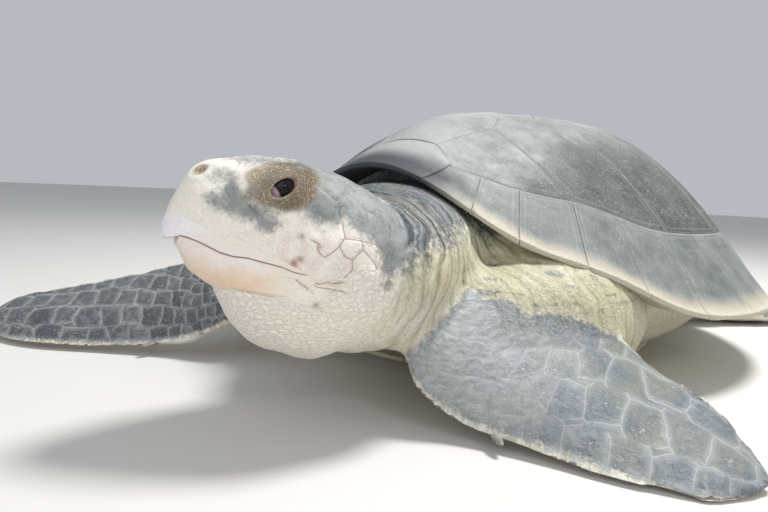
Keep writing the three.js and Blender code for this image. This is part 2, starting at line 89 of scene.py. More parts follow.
class Profile:
    """A smooth curve through a few places and values, with no overshoot between them."""

    def __init__(self, *pairs: tuple[float, float]) -> None:
        """Works out the slope at each place.

        Args:
            pairs: Places, in rising order, each with its value.
        """
        self.at = np.array([pair[0] for pair in pairs], float)
        self.value = np.array([pair[1] for pair in pairs], float)
        steps = np.diff(self.value) / np.diff(self.at)
        self.slope = np.concatenate([steps[:1], np.zeros(len(steps) - 1), steps[-1:]])
        before, after = steps[:-1], steps[1:]
        same = before * after > 0
        self.slope[1:-1][same] = (2 * before * after)[same] / (before + after)[same]

    def __call__(self, place: Array | float) -> Array:
        """Works out the value at each place.

        Args:
            place: The places.

        Returns:
            The values.
        """
        x = np.clip(place, self.at[0], self.at[-1])
        i = np.clip(np.searchsorted(self.at, x, side="right") - 1, 0, len(self.at) - 2)
        h = self.at[i + 1] - self.at[i]
        t = (x - self.at[i]) / h
        return (
            (2 * t**3 - 3 * t**2 + 1) * self.value[i] + (t**3 - 2 * t**2 + t) * h * self.slope[i]
            + (3 * t**2 - 2 * t**3) * self.value[i + 1] + (t**3 - t**2) * h * self.slope[i + 1]
        )


class Path:
    """A centripetal Catmull-Rom curve through a few points, run from 0 to 1."""

    def __init__(self, points: Sequence[Sequence[float]]) -> None:
        """Adds a point past each end.

        Args:
            points: The points, in millimetres.
        """
        p = np.array(points, float)
        self.points = np.vstack([2 * p[0] - p[1], p, 2 * p[-1] - p[-2]])
        self.spans = len(p) - 1

    def __call__(self, t: Array) -> Array:
        """Works out the point at each t.

        Args:
            t: Shares of the way, from 0 to 1.

        Returns:
            The points, as rows.
        """
        at = np.clip(np.atleast_1d(t), 0, 1) * self.spans
        i = np.minimum(at.astype(int), self.spans - 1)
        w = (at - i)[:, None]
        a, b, c, d = (self.points[i + k] for k in range(4))
        ab, bc, cd = (np.sum((q - p) ** 2, 1)[:, None] ** 0.25 for p, q in ((a, b), (b, c), (c, d)))
        start = ((b - a) / ab - (c - a) / (ab + bc) + (c - b) / bc) * bc
        end = ((c - b) / bc - (d - b) / (bc + cd) + (d - c) / cd) * bc
        square = 3 * (c - b) - 2 * start - end
        cube = 2 * (b - c) + start + end
        return b + start * w + square * w**2 + cube * w**3

    def tangent(self, t: Array) -> Array:
        """Returns the unit direction of travel at each t."""
        step = 1e-4
        return unit(self(np.minimum(t + step, 1)) - self(np.maximum(t - step, 0)))


def unit(vectors: Array) -> Array:
    """Returns the vectors, as rows, at unit length."""
    return vectors / np.maximum(np.linalg.norm(vectors, axis=-1, keepdims=True), 1e-9)


def ease(low: float, high: float, x: Array) -> Array:
    """Returns 0 below low, 1 above high and a smooth step between."""
    t = np.clip((x - low) / (high - low), 0, 1)
    return t * t * (3 - 2 * t)


def signed_power(x: Array, exponent: float) -> Array:
    """Returns |x| to the exponent, with the sign of x."""
    return np.sign(x) * np.abs(x) ** exponent


def noise_at(points: Array, size: float, seed: float = 0.0) -> Array:
    """Smooth noise made of crossed sine waves, the same on every run.

    Args:
        points: Places, as rows, in millimetres.
        size: About how far apart its bumps are, in millimetres.
        seed: Moves the waves.

    Returns:
        Values between about -1 and 1.
    """
    rng = np.random.default_rng(int(seed * 1000) + 11)
    total = np.zeros(len(points))
    for _ in range(7):
        way = rng.normal(size=3)
        way *= (2 * math.pi / size) * rng.uniform(0.6, 1.5) / np.linalg.norm(way)
        total += np.sin(points @ way + rng.uniform(0, 2 * math.pi))
    return total / 3.2


# ------------------------------------------------------------------ the body's own frame


@dataclass(frozen=True)
class ShellForm:
    """The carapace, by an angle in degrees from the nose end and a share of the radius."""

    half_width: float = 293.0
    half_length: float = 308.0
    rear_taper: float = 0.06
    top: float = 258.0
    rim_front: float = 188.0
    rim_side: float = 70.0
    rim_rear_drop: float = 12.0
    rim_fade: float = 29.0
    arch: float = 19.0
    arch_at: float = 39.0
    arch_width: float = 13.0
    fullness: float = 2.83
    flare: float = 1.27
    underside: float = 0.85
    border: float = 0.81

    def rim(self, degrees: Array) -> Array:
        """Works out the height of the rim.

        Args:
            degrees: Angles from the nose end.

        Returns:
            The height at each angle.
        """
        d = np.abs(degrees)
        front = (self.rim_front - self.rim_side) * np.exp(-((d / self.rim_fade) ** 2))
        arch = self.arch * np.exp(-(((d - self.arch_at) / self.arch_width) ** 2))
        return self.rim_side + front + arch - self.rim_rear_drop * np.clip((d - 90) / 90, 0, 1)

    def taper(self, cosine: Array) -> Array:
        """Returns the share of the half-width that is left towards the tail."""
        return 1 - self.rear_taper * np.maximum(0, -cosine) ** 1.5

    def plan(self, degrees: Array, share: Array) -> tuple[Array, Array]:
        """Places angles and shares in plan.

        Args:
            degrees: Angles from the nose end.
            share: Shares of the shell's radius.

        Returns:
            x and y, in millimetres.
        """
        a = np.radians(degrees)
        x = self.half_width * np.sin(a) * share * self.taper(np.cos(a))
        return x, -self.half_length * np.cos(a) * share

    def polar(self, x: Array, y: Array) -> tuple[Array, Array]:
        """Finds places in plan by angle and share.

        Args:
            x: How far left each place is.
            y: How far back each place is.

        Returns:
            The angles in degrees and the shares.
        """
        across, back = x / self.half_width, -y / self.half_length
        taper = np.ones_like(across)
        for _ in range(4):
            share = np.hypot(across / taper, back)
            taper = self.taper(back / np.maximum(share, 1e-6))
        return np.degrees(np.arctan2(across / taper, back)), share

    def dome(self, degrees: Array, share: Array) -> Array:
        """Works out the height of the dome.

        Args:
            degrees: Angles from the nose end.
            share: Shares of the shell's radius.

        Returns:
            The height at each angle and share.
        """
        rise = np.maximum(0, 1 - share**self.fullness) ** self.flare
        rim = self.rim(degrees)
        return rim + (self.top - rim) * rise

    def over(self, x: Array, y: Array) -> Array:
        """Returns the height of the dome over each x and y."""
        return self.dome(*self.polar(x, y))

    def border_share(self, degrees: Array) -> Array:
        """Returns the share at which the marginals begin."""
        return self.border + 0.1 * np.exp(-((degrees / 20) ** 2))


@dataclass(frozen=True)
class PlastronForm:
    """The outline of the plastron, as shares of the shell's radius."""

    half_width: float = 0.59
    front: float = 0.77
    rear: float = 0.78
    squareness: float = 2.4
    thickness: float = 8.0

    def share(self, degrees: Array) -> Array:
        """Finds where the plate ends.

        Args:
            degrees: Angles from the nose end.

        Returns:
            The share of the shell's radius at each angle.
        """
        a = np.radians(degrees)
        end = np.where(np.cos(a) > 0, self.front, self.rear)
        n = self.squareness
        return ((np.abs(np.sin(a)) / self.half_width) ** n + (np.abs(np.cos(a)) / end) ** n) ** (-1 / n)


class HeadForm:
    """The head: rings across its own axis. Along is forward, left and up are across it."""

    BACK, FRONT = -62.0, 81.0
    CENTRE = (24.0, -435.0, 124.0)
    YAW, PITCH = 36.0, 10.0
    EYE = (19.9, 38.0)
    EYE_RADIUS = 12.5
    EYE_INSET = 9.4
    ROUND_ABOVE, ROUND_BELOW = 2.5, 2.1

    top = Profile(
        (-62, 38), (-48, 46), (-33, 52), (-12, 56.5), (8, 58), (32, 56), (50, 51), (63, 46), (70, 40.5),
        (75, 30.5), (78.5, 20), (80.2, 11), (81, 3)
    )
    bottom = Profile(
        (-62, -48), (-44, -60), (-20, -68.5), (4, -66), (25, -56), (38, -41), (46, -31), (52, -28),
        (61, -23), (67, -15), (70.5, -10), (75, -8.6), (78, -7.6), (80, -4), (81, 2)
    )
    width = Profile(
        (-62, 52), (-47, 59), (-30, 62), (-10, 60.5), (10, 54), (30, 45), (50, 34), (63, 26), (71, 20),
        (77, 13), (79.5, 8.5), (81, 4)
    )

    def __init__(self) -> None:
        """Works out the head's frame and the place of the left eye."""
        turn = Matrix.Rotation(math.radians(-self.YAW), 4, "Z")
        basis = Matrix(((0, 1, 0, 0), (-1, 0, 0, 0), (0, 0, 1, 0), (0, 0, 0, 1)))
        nod = Matrix.Rotation(math.radians(-self.PITCH), 4, "Y")
        whole = Matrix.Translation(self.CENTRE) @ turn @ basis @ nod
        self.frame = np.array(whole)
        self.inverse = np.array(whole.inverted())
        beside = float(self.left_at(np.array([self.EYE[0]]), np.array([self.EYE[1]]))[0])
        self.eye_across = beside - self.EYE_INSET

    def to_body(self, p: Array) -> Array:
        """Turns rows of (along, left, up) into rows of (x, y, z)."""
        return p @ self.frame[:3, :3].T + self.frame[:3, 3]

    def to_head(self, p: Array) -> Array:
        """Turns rows of (x, y, z) into rows of (along, left, up)."""
        return p @ self.inverse[:3, :3].T + self.inverse[:3, 3]

    def middle(self, along: Array) -> Array:
        """Returns the height at which a ring is widest."""
        return 4 - 6 * (self.FRONT - along) / (self.FRONT - self.BACK)

    def ring_shape(self, along: Array, up: Array) -> tuple[Array, Array, Array]:
        """Finds the ring that goes through each place.

        Args:
            along: How far forward each place is.
            up: How high each place is.

        Returns:
            The height at which the ring is widest, its reach up or down from there, and its roundness.
        """
        middle = self.middle(along)
        high = up > middle
        reach = np.where(high, self.top(along) - middle, middle - self.bottom(along))
        return middle, reach, np.where(high, self.ROUND_ABOVE, self.ROUND_BELOW)

    def excess(self, p: Array) -> Array:
        """Tells inside from outside.

        Args:
            p: Places, as (along, left, up).

        Returns:
            Numbers below 0 inside the head and above 0 outside it.
        """
        along, left, up = p.T
        middle, reach, n = self.ring_shape(along, up)
        past = np.maximum(0, along - self.FRONT) / 0.3
        inside = np.abs(left / self.width(along)) ** n + np.abs((up - middle) / reach) ** n - 1
        return inside + past

    def left_at(self, along: Array, up: Array) -> Array:
        """Works out the half-width of the head.

        Args:
            along: How far forward each place is.
            up: How high each place is.

        Returns:
            The half-width at each place on its side.
        """
        middle, reach, n = self.ring_shape(along, up)
        rest = np.clip(1 - np.abs((up - middle) / reach) ** n, 0, 1)
        return self.width(along) * rest ** (1 / n)

    def ring(self, angle: Array, t: Array, grow: float) -> Array:
        """Places the skin of the head.

        Args:
            angle: Round the ring, from the left side over the crown.
            t: From the nape at 0 to the nose at 1.
            grow: How far outside the skin, in millimetres.

        Returns:
            The places, as rows of (x, y, z).
        """
        mixed = t + (0.5 - 0.5 * np.cos(np.pi * t) - t) * 0.72
        along = self.BACK - grow + (self.FRONT - self.BACK + 2 * grow) * mixed
        side, rise = np.cos(angle), np.sin(angle)
        n = np.where(rise > 0, self.ROUND_ABOVE, self.ROUND_BELOW)
        middle = self.middle(along)
        reach = np.where(rise > 0, self.top(along) - middle, middle - self.bottom(along))
        left = (self.width(along) + grow) * signed_power(side, 2 / n)
        up = middle + (reach + grow) * signed_power(rise, 2 / n)
        ends = (t < 1e-4) | (t > 1 - 1e-4)
        tip = np.where(t > 0.5, self.FRONT + 1 + grow, self.BACK - 8 - grow)
        rows = np.stack([np.where(ends, tip, along), np.where(ends, 0, left), up], 1)
        rows[ends, 2] = np.where(t[ends] > 0.5, 4.0, -2.0)
        return self.to_body(rows)

    def reach(self, core: Array, way: Array, farthest: float, rounds: int) -> Array:
        """Finds how far the surface is from places inside the head, by halving.

        Args:
            core: The places, as (along, left, up).
            way: The unit direction to look in from each.
            farthest: A distance that is outside the head everywhere.
            rounds: How many times the distance is halved.

        Returns:
            The distances, in millimetres.
        """
        low, high = np.zeros(len(core)), np.full(len(core), farthest)
        for _ in range(rounds):
            half = (low + high) / 2
            out = self.excess(core + way * half[:, None]) > 0
            low, high = np.where(out, low, half), np.where(out, half, high)
        return low

    def on_skin(self, p: Array, grow: float = 0.0) -> Array:
        """Moves places to the surface, out or in from the head's core.

        Args:
            p: Places, as (along, left, up).
            grow: How far outside the true form, in millimetres.

        Returns:
            The moved places.
        """
        core = np.stack([np.clip(p[:, 0], -48, 42), np.zeros(len(p)), np.full(len(p), 1.0)], 1)
        way = unit(p - core)
        return core + way * (self.reach(core, way, 110.0, 26) + grow)[:, None]


class LimbForm:
    """A body along a smooth path, whose rings are ellipses."""

    def __init__(
        self, points: Sequence[Sequence[float]], sideways: Sequence[float], half: Profile, top: Profile,
        bottom: Profile
    ) -> None:
        """Keeps the path and the sizes.

        Args:
            points: Points of the path, in millimetres.
            sideways: The direction in which half is measured.
            half: Half-width of a ring, by t along the path.
            top: Height of a ring over the path.
            bottom: Depth of a ring under the path.
        """
        self.path = Path(points)
        self.sideways = np.array(sideways, float)
        self.half, self.top, self.bottom = half, top, bottom

    def place(self, angle: Array, t: Array, grow: float = 0.0) -> Array:
        """Places the limb's skin.

        Args:
            angle: Round the ring, from the left side over the top.
            t: From one end at 0 to the other at 1.
            grow: How far outside the true form, in millimetres.

        Returns:
            The places, as rows of (x, y, z).
        """
        at, forward = self.path(t), self.path.tangent(t)
        side = unit(self.sideways - forward * (forward @ self.sideways)[:, None])
        up = np.cross(forward, side)
        up *= np.where(up[:, 2:] < 0, -1, 1)
        cap = np.sqrt(np.maximum(0, 1 - np.abs(2 * t - 1) ** 12))
        rise = np.where(np.sin(angle) > 0, self.top(t), self.bottom(t))
        across = (self.half(t) + grow) * np.cos(angle) * cap
        return at + side * across[:, None] + up * ((rise + grow) * np.sin(angle) * cap)[:, None]


class BladeForm:
    """A fore flipper between its leading edge and its trailing edge."""

    THICK_ELBOW, THICK_TIP, THINNING = 46.0, 7.0, 0.6
    EDGE = 1.2

    def __init__(self, lead: Sequence[Sequence[float]], trail: Sequence[Sequence[float]]) -> None:
        """Keeps the two edges, each a list of points in millimetres."""
        self.lead, self.trail = Path(lead), Path(trail)

    def section(self, t: Array) -> tuple[Array, Array, Array, Array, Array]:
        """Cuts the blade across.

        Args:
            t: From one end at 0 to the other at 1.

        Returns:
            The leading point, the way across, the normal, the chord and the thickness at each t.
        """
        lead, trail = self.lead(t), self.trail(t)
        across = unit(trail - lead)
        normal = unit(np.cross(self.lead.tangent(t), across))
        normal *= np.where(normal[:, 2:] < 0, -1, 1)
        thick = self.THICK_ELBOW + (self.THICK_TIP - self.THICK_ELBOW) * t**self.THINNING
        return lead, across, normal, np.linalg.norm(trail - lead, axis=1), thick

    def place(self, angle: Array, t: Array, grow: float = 0.0) -> Array:
        """Places the blade's skin.

        Args:
            angle: Round the ring, from the left side over the top.
            t: From one end at 0 to the other at 1.
            grow: How far outside the true form, in millimetres.

        Returns:
            The places, as rows of (x, y, z).
        """
        lead, across, normal, chord, thick = self.section(t)
        cap = np.sqrt(np.maximum(0, 1 - np.abs(2 * t - 1) ** 14))
        share = 0.5 - 0.5 * np.cos(angle)
        depth = thick * np.abs(np.sin(angle)) * (1 - 0.62 * share) * 0.62 + self.EDGE
        half = (depth + grow) * np.sin(angle)
        reach = (share - 0.5) * (chord + 2 * grow) * cap + chord / 2
        return lead + across * reach[:, None] + normal * (half * cap)[:, None]

    def middle(self, t: Array, share: Array) -> Array:
        """Returns places on the sheet between the two edges."""
        return self.lead(t) + (self.trail(t) - self.lead(t)) * share[:, None]


SHELL = ShellForm()
PLATE = PlastronForm()
HEAD = HeadForm()


def fleshed_limbs() -> dict[str, LimbForm]:
    """Shapes the neck, the arms, the thighs, the hind feet and the tail.

    Returns:
        The limbs, by name.
    """

    def in_head(along: float, up: float) -> Array:
        """Returns a place on the head's axis."""
        return HEAD.to_body(np.array([[along, 0.0, up]]))[0]

    neck = [in_head(-20, -6), in_head(-50, -7), (42, -348, 112), (14, -290, 112), (0, -215, 110)]
    arms = {
        Side.LEFT: [(70, -105, 70), (128, -165, 64), (142, -215, 66), (122, -280, 66), (94, -335, 66)],
        Side.RIGHT: [
            (-70, -105, 70), (-128, -165, 64), (-148, -214, 66), (-146, -262, 68), (-128, -300, 72)
        ]
    }
    thighs = {
        Side.LEFT: [(90, 165, 68), (148, 205, 56), (194, 240, 44), (220, 268, 32)],
        Side.RIGHT: [(-90, 165, 68), (-146, 208, 56), (-186, 246, 44), (-206, 280, 32)]
    }
    feet = {
        Side.LEFT: [(192, 236, 36), (226, 276, 20), (252, 316, 12), (268, 364, 7)],
        Side.RIGHT: [(-184, 244, 36), (-210, 290, 20), (-228, 332, 12), (-238, 380, 7)]
    }
    sideways = {Side.LEFT: (1, -0.62, 0), Side.RIGHT: (-1, -0.42, 0)}
    arm_half = Profile((0, 45), (0.3, 68), (0.52, 64), (0.8, 44), (1, 32))
    arm_tall = Profile((0, 48), (0.3, 60), (0.52, 58), (0.8, 46), (1, 32))
    thigh = Profile((0, 44), (0.4, 48), (0.75, 42), (1, 33))
    thigh_tall = Profile((0, 37.4), (0.4, 40.8), (0.75, 35.7), (1, 28))
    foot_half = Profile((0, 35), (0.3, 41), (0.65, 51), (0.86, 43), (1, 25))
    foot_tall = Profile((0, 26), (0.3, 19), (0.6, 11), (1, 4))
    tail_half = Profile((0, 34), (0.45, 25), (0.8, 13), (1, 6))
    tail_tall = Profile((0, 27), (0.45, 20), (0.8, 10.4), (1, 4.8))
    limbs = {
        "neck": LimbForm(
            neck, (1, 0, 0), Profile((0, 52), (0.28, 60), (0.5, 66), (0.75, 82), (1, 92)),
            Profile((0, 46), (0.28, 50), (0.5, 54), (0.75, 59), (1, 55)),
            Profile((0, 52), (0.28, 55), (0.5, 58), (0.75, 68), (1, 72))
        ),
        "tail": LimbForm(
            [(0, 190, 48), (0, 250, 42), (0, 300, 32), (0, 338, 21)], (1, 0, 0), tail_half, tail_tall,
            tail_tall
        )
    }
    for side in Side:
        limbs[f"arm_{side.word}"] = LimbForm(arms[side], (side.value, 0.3, 0), arm_half, arm_tall, arm_tall)
        limbs[f"thigh_{side.word}"] = LimbForm(thighs[side], sideways[side], thigh, thigh_tall, thigh_tall)
        limbs[f"foot_{side.word}"] = LimbForm(feet[side], sideways[side], foot_half, foot_tall, foot_tall)
    return limbs


BLADES = {
    Side.LEFT: BladeForm(
        [
            (72, -372, 66), (96, -382, 34), (132, -377, 14), (187, -374, 7), (240, -375, 3), (281, -366, 2),
            (308, -334, 2)
        ],
        [
            (84, -340, 96), (110, -330, 97), (134, -302, 86), (172, -264, 74), (214, -252, 54),
            (276, -284, 29), (311, -320, 5)
        ]
    ),
    Side.RIGHT: BladeForm(
        [
            (-100, -322, 62), (-128, -344, 36), (-172, -362, 17), (-228, -392, 8), (-300, -430, 6),
            (-360, -436, 5), (-414, -420, 4)
        ],
        [
            (-120, -286, 92), (-160, -288, 94), (-214, -306, 84), (-272, -338, 66), (-336, -372, 48),
            (-384, -397, 34), (-418, -413, 8)
        ]
    )
}


# ------------------------------------------------------------------ making meshes


def model_offset() -> Array:
    """Finds where the middle of the shell stands in the model.

    Returns:
        The place, in millimetres.
    """
    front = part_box("nuchal")[0].y
    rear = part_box("marginal_left_12")[1].y
    low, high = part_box("plastron")
    return np.array([(low.x + high.x) / 2, (front + rear) / 2, 0.0]) / MM


OFFSET = model_offset()


def read_places(mesh: Mesh) -> Array:
    """Reads the vertices.

    Args:
        mesh: The mesh.

    Returns:
        Their places, as rows in millimetres in the body's frame.
    """
    rows = np.empty(len(mesh.vertices) * 3, np.float32)
    mesh.vertices.foreach_get("co", rows)
    return rows.reshape(-1, 3).astype(float) / MM - OFFSET


def write_places(mesh: Mesh, rows: Array) -> None:
    """Moves the vertices to rows given in millimetres in the body's frame."""
    mesh.vertices.foreach_set("co", ((rows + OFFSET) * MM).astype(np.float32).ravel())
    mesh.update()


def read_normals(mesh: Mesh) -> Array:
    """Reads the unit normals of the vertices.

    Args:
        mesh: The mesh.

    Returns:
        The normals, as rows.
    """
    rows = np.empty(len(mesh.vertices) * 3, np.float32)
    mesh.vertex_normals.foreach_get("vector", rows)
    return rows.reshape(-1, 3).astype(float)


def edge_pairs(mesh: Mesh) -> Array:
    """Reads the edges.

    Args:
        mesh: The mesh.

    Returns:
        The two vertices of each, as rows.
    """
    rows = np.empty(len(mesh.edges) * 2, np.int32)
    mesh.edges.foreach_get("vertices", rows)
    return rows.reshape(-1, 2)


def nearest_of(samples: Array, rows: Array) -> Array:
    """Finds the sample nearest to each place.

    Args:
        samples: The samples, as rows.
        rows: The places, as rows.

    Returns:
        The sample's index, for each place.
    """
    tree = KDTree(len(samples))
    for i, sample in enumerate(samples):
        tree.insert(sample, i)
    tree.balance()
    return np.array([tree.find(row)[1] for row in rows])


def spread(values: Array, pairs: Array, rounds: int, keep: float = 0.5) -> Array:
    """Evens out values over a mesh by averaging each vertex with its neighbours.

    Args:
        values: One value or row for each vertex.
        pairs: The edges.
        rounds: How many times it is done.
        keep: Share of its own value that a vertex keeps.

    Returns:
        The evened values.
    """
    count = np.maximum(np.bincount(pairs.ravel(), minlength=len(values)), 1).astype(float)
    columns = values.astype(float).reshape(len(values), -1).T.copy()
    for _ in range(rounds):
        for k, column in enumerate(columns):
            total = np.bincount(pairs[:, 0], column[pairs[:, 1]], len(column))
            total += np.bincount(pairs[:, 1], column[pairs[:, 0]], len(column))
            columns[k] = column * keep + total / count * (1 - keep)
    return columns.T.reshape(values.shape)


def set_values(mesh: Mesh, name: str, values: Array) -> None:
    """Stores one number or one vector for each vertex.

    Args:
        mesh: The mesh.
        name: The name that they are kept under.
        values: The numbers, or the vectors as rows.
    """
    kind, key = ("FLOAT", "value") if values.ndim == 1 else ("FLOAT_VECTOR", "vector")
    layer = mesh.attributes.get(name) or mesh.attributes.new(name, kind, "POINT")
    layer.data.foreach_set(key, values.astype(np.float32).ravel())


def smooth_shade(mesh: Mesh) -> None:
    """Shades every face smooth."""
    mesh.polygons.foreach_set("use_smooth", np.ones(len(mesh.polygons), bool))


def new_object(name: str, bm: bmesh.types.BMesh) -> Piece:
    """Turns a bmesh into an object at the origin.

    Args:
        name: The piece's name.
        bm: The bmesh, which is used up.

    Returns:
        The object, shaded smooth.
    """
    mesh = bpy.data.meshes.new(name)
    bm.to_mesh(mesh)
    bm.free()
    smooth_shade(mesh)
    made = bpy.data.objects.new(name, mesh)
    bpy.context.scene.collection.objects.link(made)
    return made


def turn_outwards(piece: Piece) -> None:
    """Merges doubles and points every face outwards.

    Args:
        piece: The piece.
    """
    bm = bmesh.new()
    bm.from_mesh(piece.data)
    bmesh.ops.remove_doubles(bm, verts=bm.verts, dist=1e-6)
    bmesh.ops.recalc_face_normals(bm, faces=bm.faces)
    bm.to_mesh(piece.data)
    bm.free()


def ball(name: str, around: int, along: int, place: Placer) -> Piece:
    """Makes a closed form from a sphere.

    Args:
        name: The piece's name.
        around: Steps round each ring.
        along: Steps from one end to the other.
        place: Gives rows of (x, y, z) for angles round a ring and t from 0 to 1.

    Returns:
        The new object, its faces pointing outwards.
    """
    bm = bmesh.new()
    bmesh.ops.create_uvsphere(bm, u_segments=around, v_segments=along, radius=1)
    unit_rows = np.array([v.co for v in bm.verts])
    made = new_object(name, bm)
    t = np.arccos(np.clip(unit_rows[:, 2], -1, 1)) / math.pi
    write_places(made.data, place(np.arctan2(unit_rows[:, 1], unit_rows[:, 0]), t))
    turn_outwards(made)
    return made


def sheet(name: str, columns: int, rows: int, place: Placer) -> Piece:
    """Makes an open form from a grid.

    Args:
        name: The piece's name.
        columns: Steps in u.
        rows: Steps in v.
        place: Gives rows of (x, y, z) for u and v, each from 0 to 1.

    Returns:
        The new object.
    """
    bm = bmesh.new()
    bmesh.ops.create_grid(bm, x_segments=columns, y_segments=rows, size=1)
    flat = np.array([v.co for v in bm.verts]) * 0.5 + 0.5
    made = new_object(name, bm)
    write_places(made.data, place(flat[:, 0], flat[:, 1]))
    return made


def face_up(piece: Piece) -> None:
    """Turns an open sheet round if more of it faces down than up.

    Args:
        piece: The piece.
    """
    normals = read_normals(piece.data)
    if normals[:, 2].sum() < 0:
        piece.data.flip_normals()


def thicken(piece: Piece, thickness: float) -> None:
    """Gives an open sheet a wall on its inner side.

    Args:
        piece: The piece.
        thickness: The wall's thickness, in millimetres.
    """
    wall = piece.modifiers.new("wall", "SOLIDIFY")
    wall.thickness = thickness * MM
    wall.offset = -1


def settle(piece: Piece) -> None:
    """Applies every modifier of a piece to its mesh.

    Args:
        piece: The piece.
    """
    bpy.context.view_layer.update()
    ready = piece.evaluated_get(bpy.context.evaluated_depsgraph_get())
    mesh = bpy.data.meshes.new_from_object(ready)
    old = piece.data
    piece.modifiers.clear()
    piece.data = mesh
    mesh.name = old.name
    bpy.data.meshes.remove(old)


def enrol(piece: Piece, slot: str, *nodes: str) -> Piece:
    """Makes a piece ride on the body and stand for its CAD nodes.

    Args:
        piece: The piece.
        slot: The slot of its finish; not used.
        nodes: The CAD nodes.

    Returns:
        The piece.
    """
    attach(piece, "root")
    if nodes:
        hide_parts(*nodes)
    LOG.info("%s: %d vertices", piece.name, len(piece.data.vertices))
    return piece


def dress(piece: Piece, material: Material) -> None:
    """Gives a piece its one material."""
    piece.data.materials.clear()
    piece.data.materials.append(material)


# ------------------------------------------------------------------ skin


class Part(IntEnum):
    """A region of the skin, each with its own pattern and folds."""

    HEAD = 0
    NECK = 1
    SHOULDER = 2
    ARM = 3
    BLADE = 4
    TRUNK = 5
    THIGH = 6
    FOOT = 7
    TAIL = 8


FAR = 30.0


def beside_line(p: Array, line: Line, farthest: float = FAR) -> tuple[Array, Array]:
    """Measures how far places on a plane are from a line of short straight runs.

    Args:
        p: The places.
        line: The points that the line joins.
        farthest: The distance given to every place beyond it.

    Returns:
        The distances, without and with a sign for the side that a place lies on.
    """
    nearest, signed = np.full(len(p), farthest), np.full(len(p), farthest)
    for start, end in zip(line, line[1:]):
        a, run = np.array(start, float), np.array(end, float) - np.array(start, float)
        off = p - a
        along = np.clip(off @ run / np.sum(run**2), 0, 1)
        distance = np.linalg.norm(off - along[:, None] * run, axis=1)
        closer = distance < nearest
        nearest = np.where(closer, distance, nearest)
        signed = np.where(closer, distance * np.sign(run[0] * off[:, 1] - run[1] * off[:, 0]), signed)
    return nearest, signed


def away_from_line(p: Array, line: Line) -> Array:
    """Returns how far places on a plane are from a line."""
    return beside_line(p, line, math.inf)[0]


def turned(p: Array, degrees: float) -> Array:
    """Returns rows of places on a plane, turned about its origin."""
    c, s = math.cos(math.radians(degrees)), math.sin(math.radians(degrees))
    return np.column_stack([p[:, 0] * c + p[:, 1] * s, p[:, 1] * c - p[:, 0] * s])


def spot(p: Array, middle: Sequence[float], radii: Sequence[float], slant: float = 0.0) -> Array:
    """Returns a soft mask round a place, 1 in its middle.

    Args:
        p: Places, as rows.
        middle: The middle of the mask.
        radii: Its reach along each axis.
        slant: Turn of the first two axes, in degrees.

    Returns:
        The mask.
    """
    d = p - np.array(middle, float)
    d[:, :2] = turned(d[:, :2], slant)
    return np.exp(-np.sum((d / np.array(radii, float)) ** 2, 1))


MOUTH = [
    (8, -8.5), (14.5, -7), (24, -6.5), (34, -6), (42, -7), (48.5, -6.5), (55.5, -4.5), (61, -3), (67, -2),
    (71, -2), (100, -2)
]
LIP = [*MOUTH[:-1], (74, -4), (77.5, -6), (100, -6)]
MOUTH_FOLDS = (
    [(12, -7.5), (5, -8.5), (-1, -11), (-8, -11.5), (-20, -9.5)],
    [(9.5, -7.5), (2.5, -11), (-4.5, -14), (-13.5, -14), (-23, -14)],
    [(14.5, -7.5), (8.5, -11), (3.5, -14.5), (-4, -17.5)]
)
UPPER_BORDER = [(6, -6), (15, -2.5), (25, 0.5), (44, 5.5), (53, 8), (63, 12), (72, 15), (100, 16)]
LOWER_BORDER = [
    (4, -20), (8, -23.5), (20, -25), (30, -25.5), (38, -27), (45, -30), (54, -31), (64, -24), (100, -18)
]
JAW_LINE = [(30, -26), (19.5, -25.5), (11, -26), (4, -26), (-5, -24.5), (-9.5, -20), (-7, -16.5)]


def line_at(line: Line, along: Array) -> Array:
    """Returns the height of a side line of the head at each place along it."""
    places, heights = np.array(line, float).T
    return np.interp(along, places, heights)


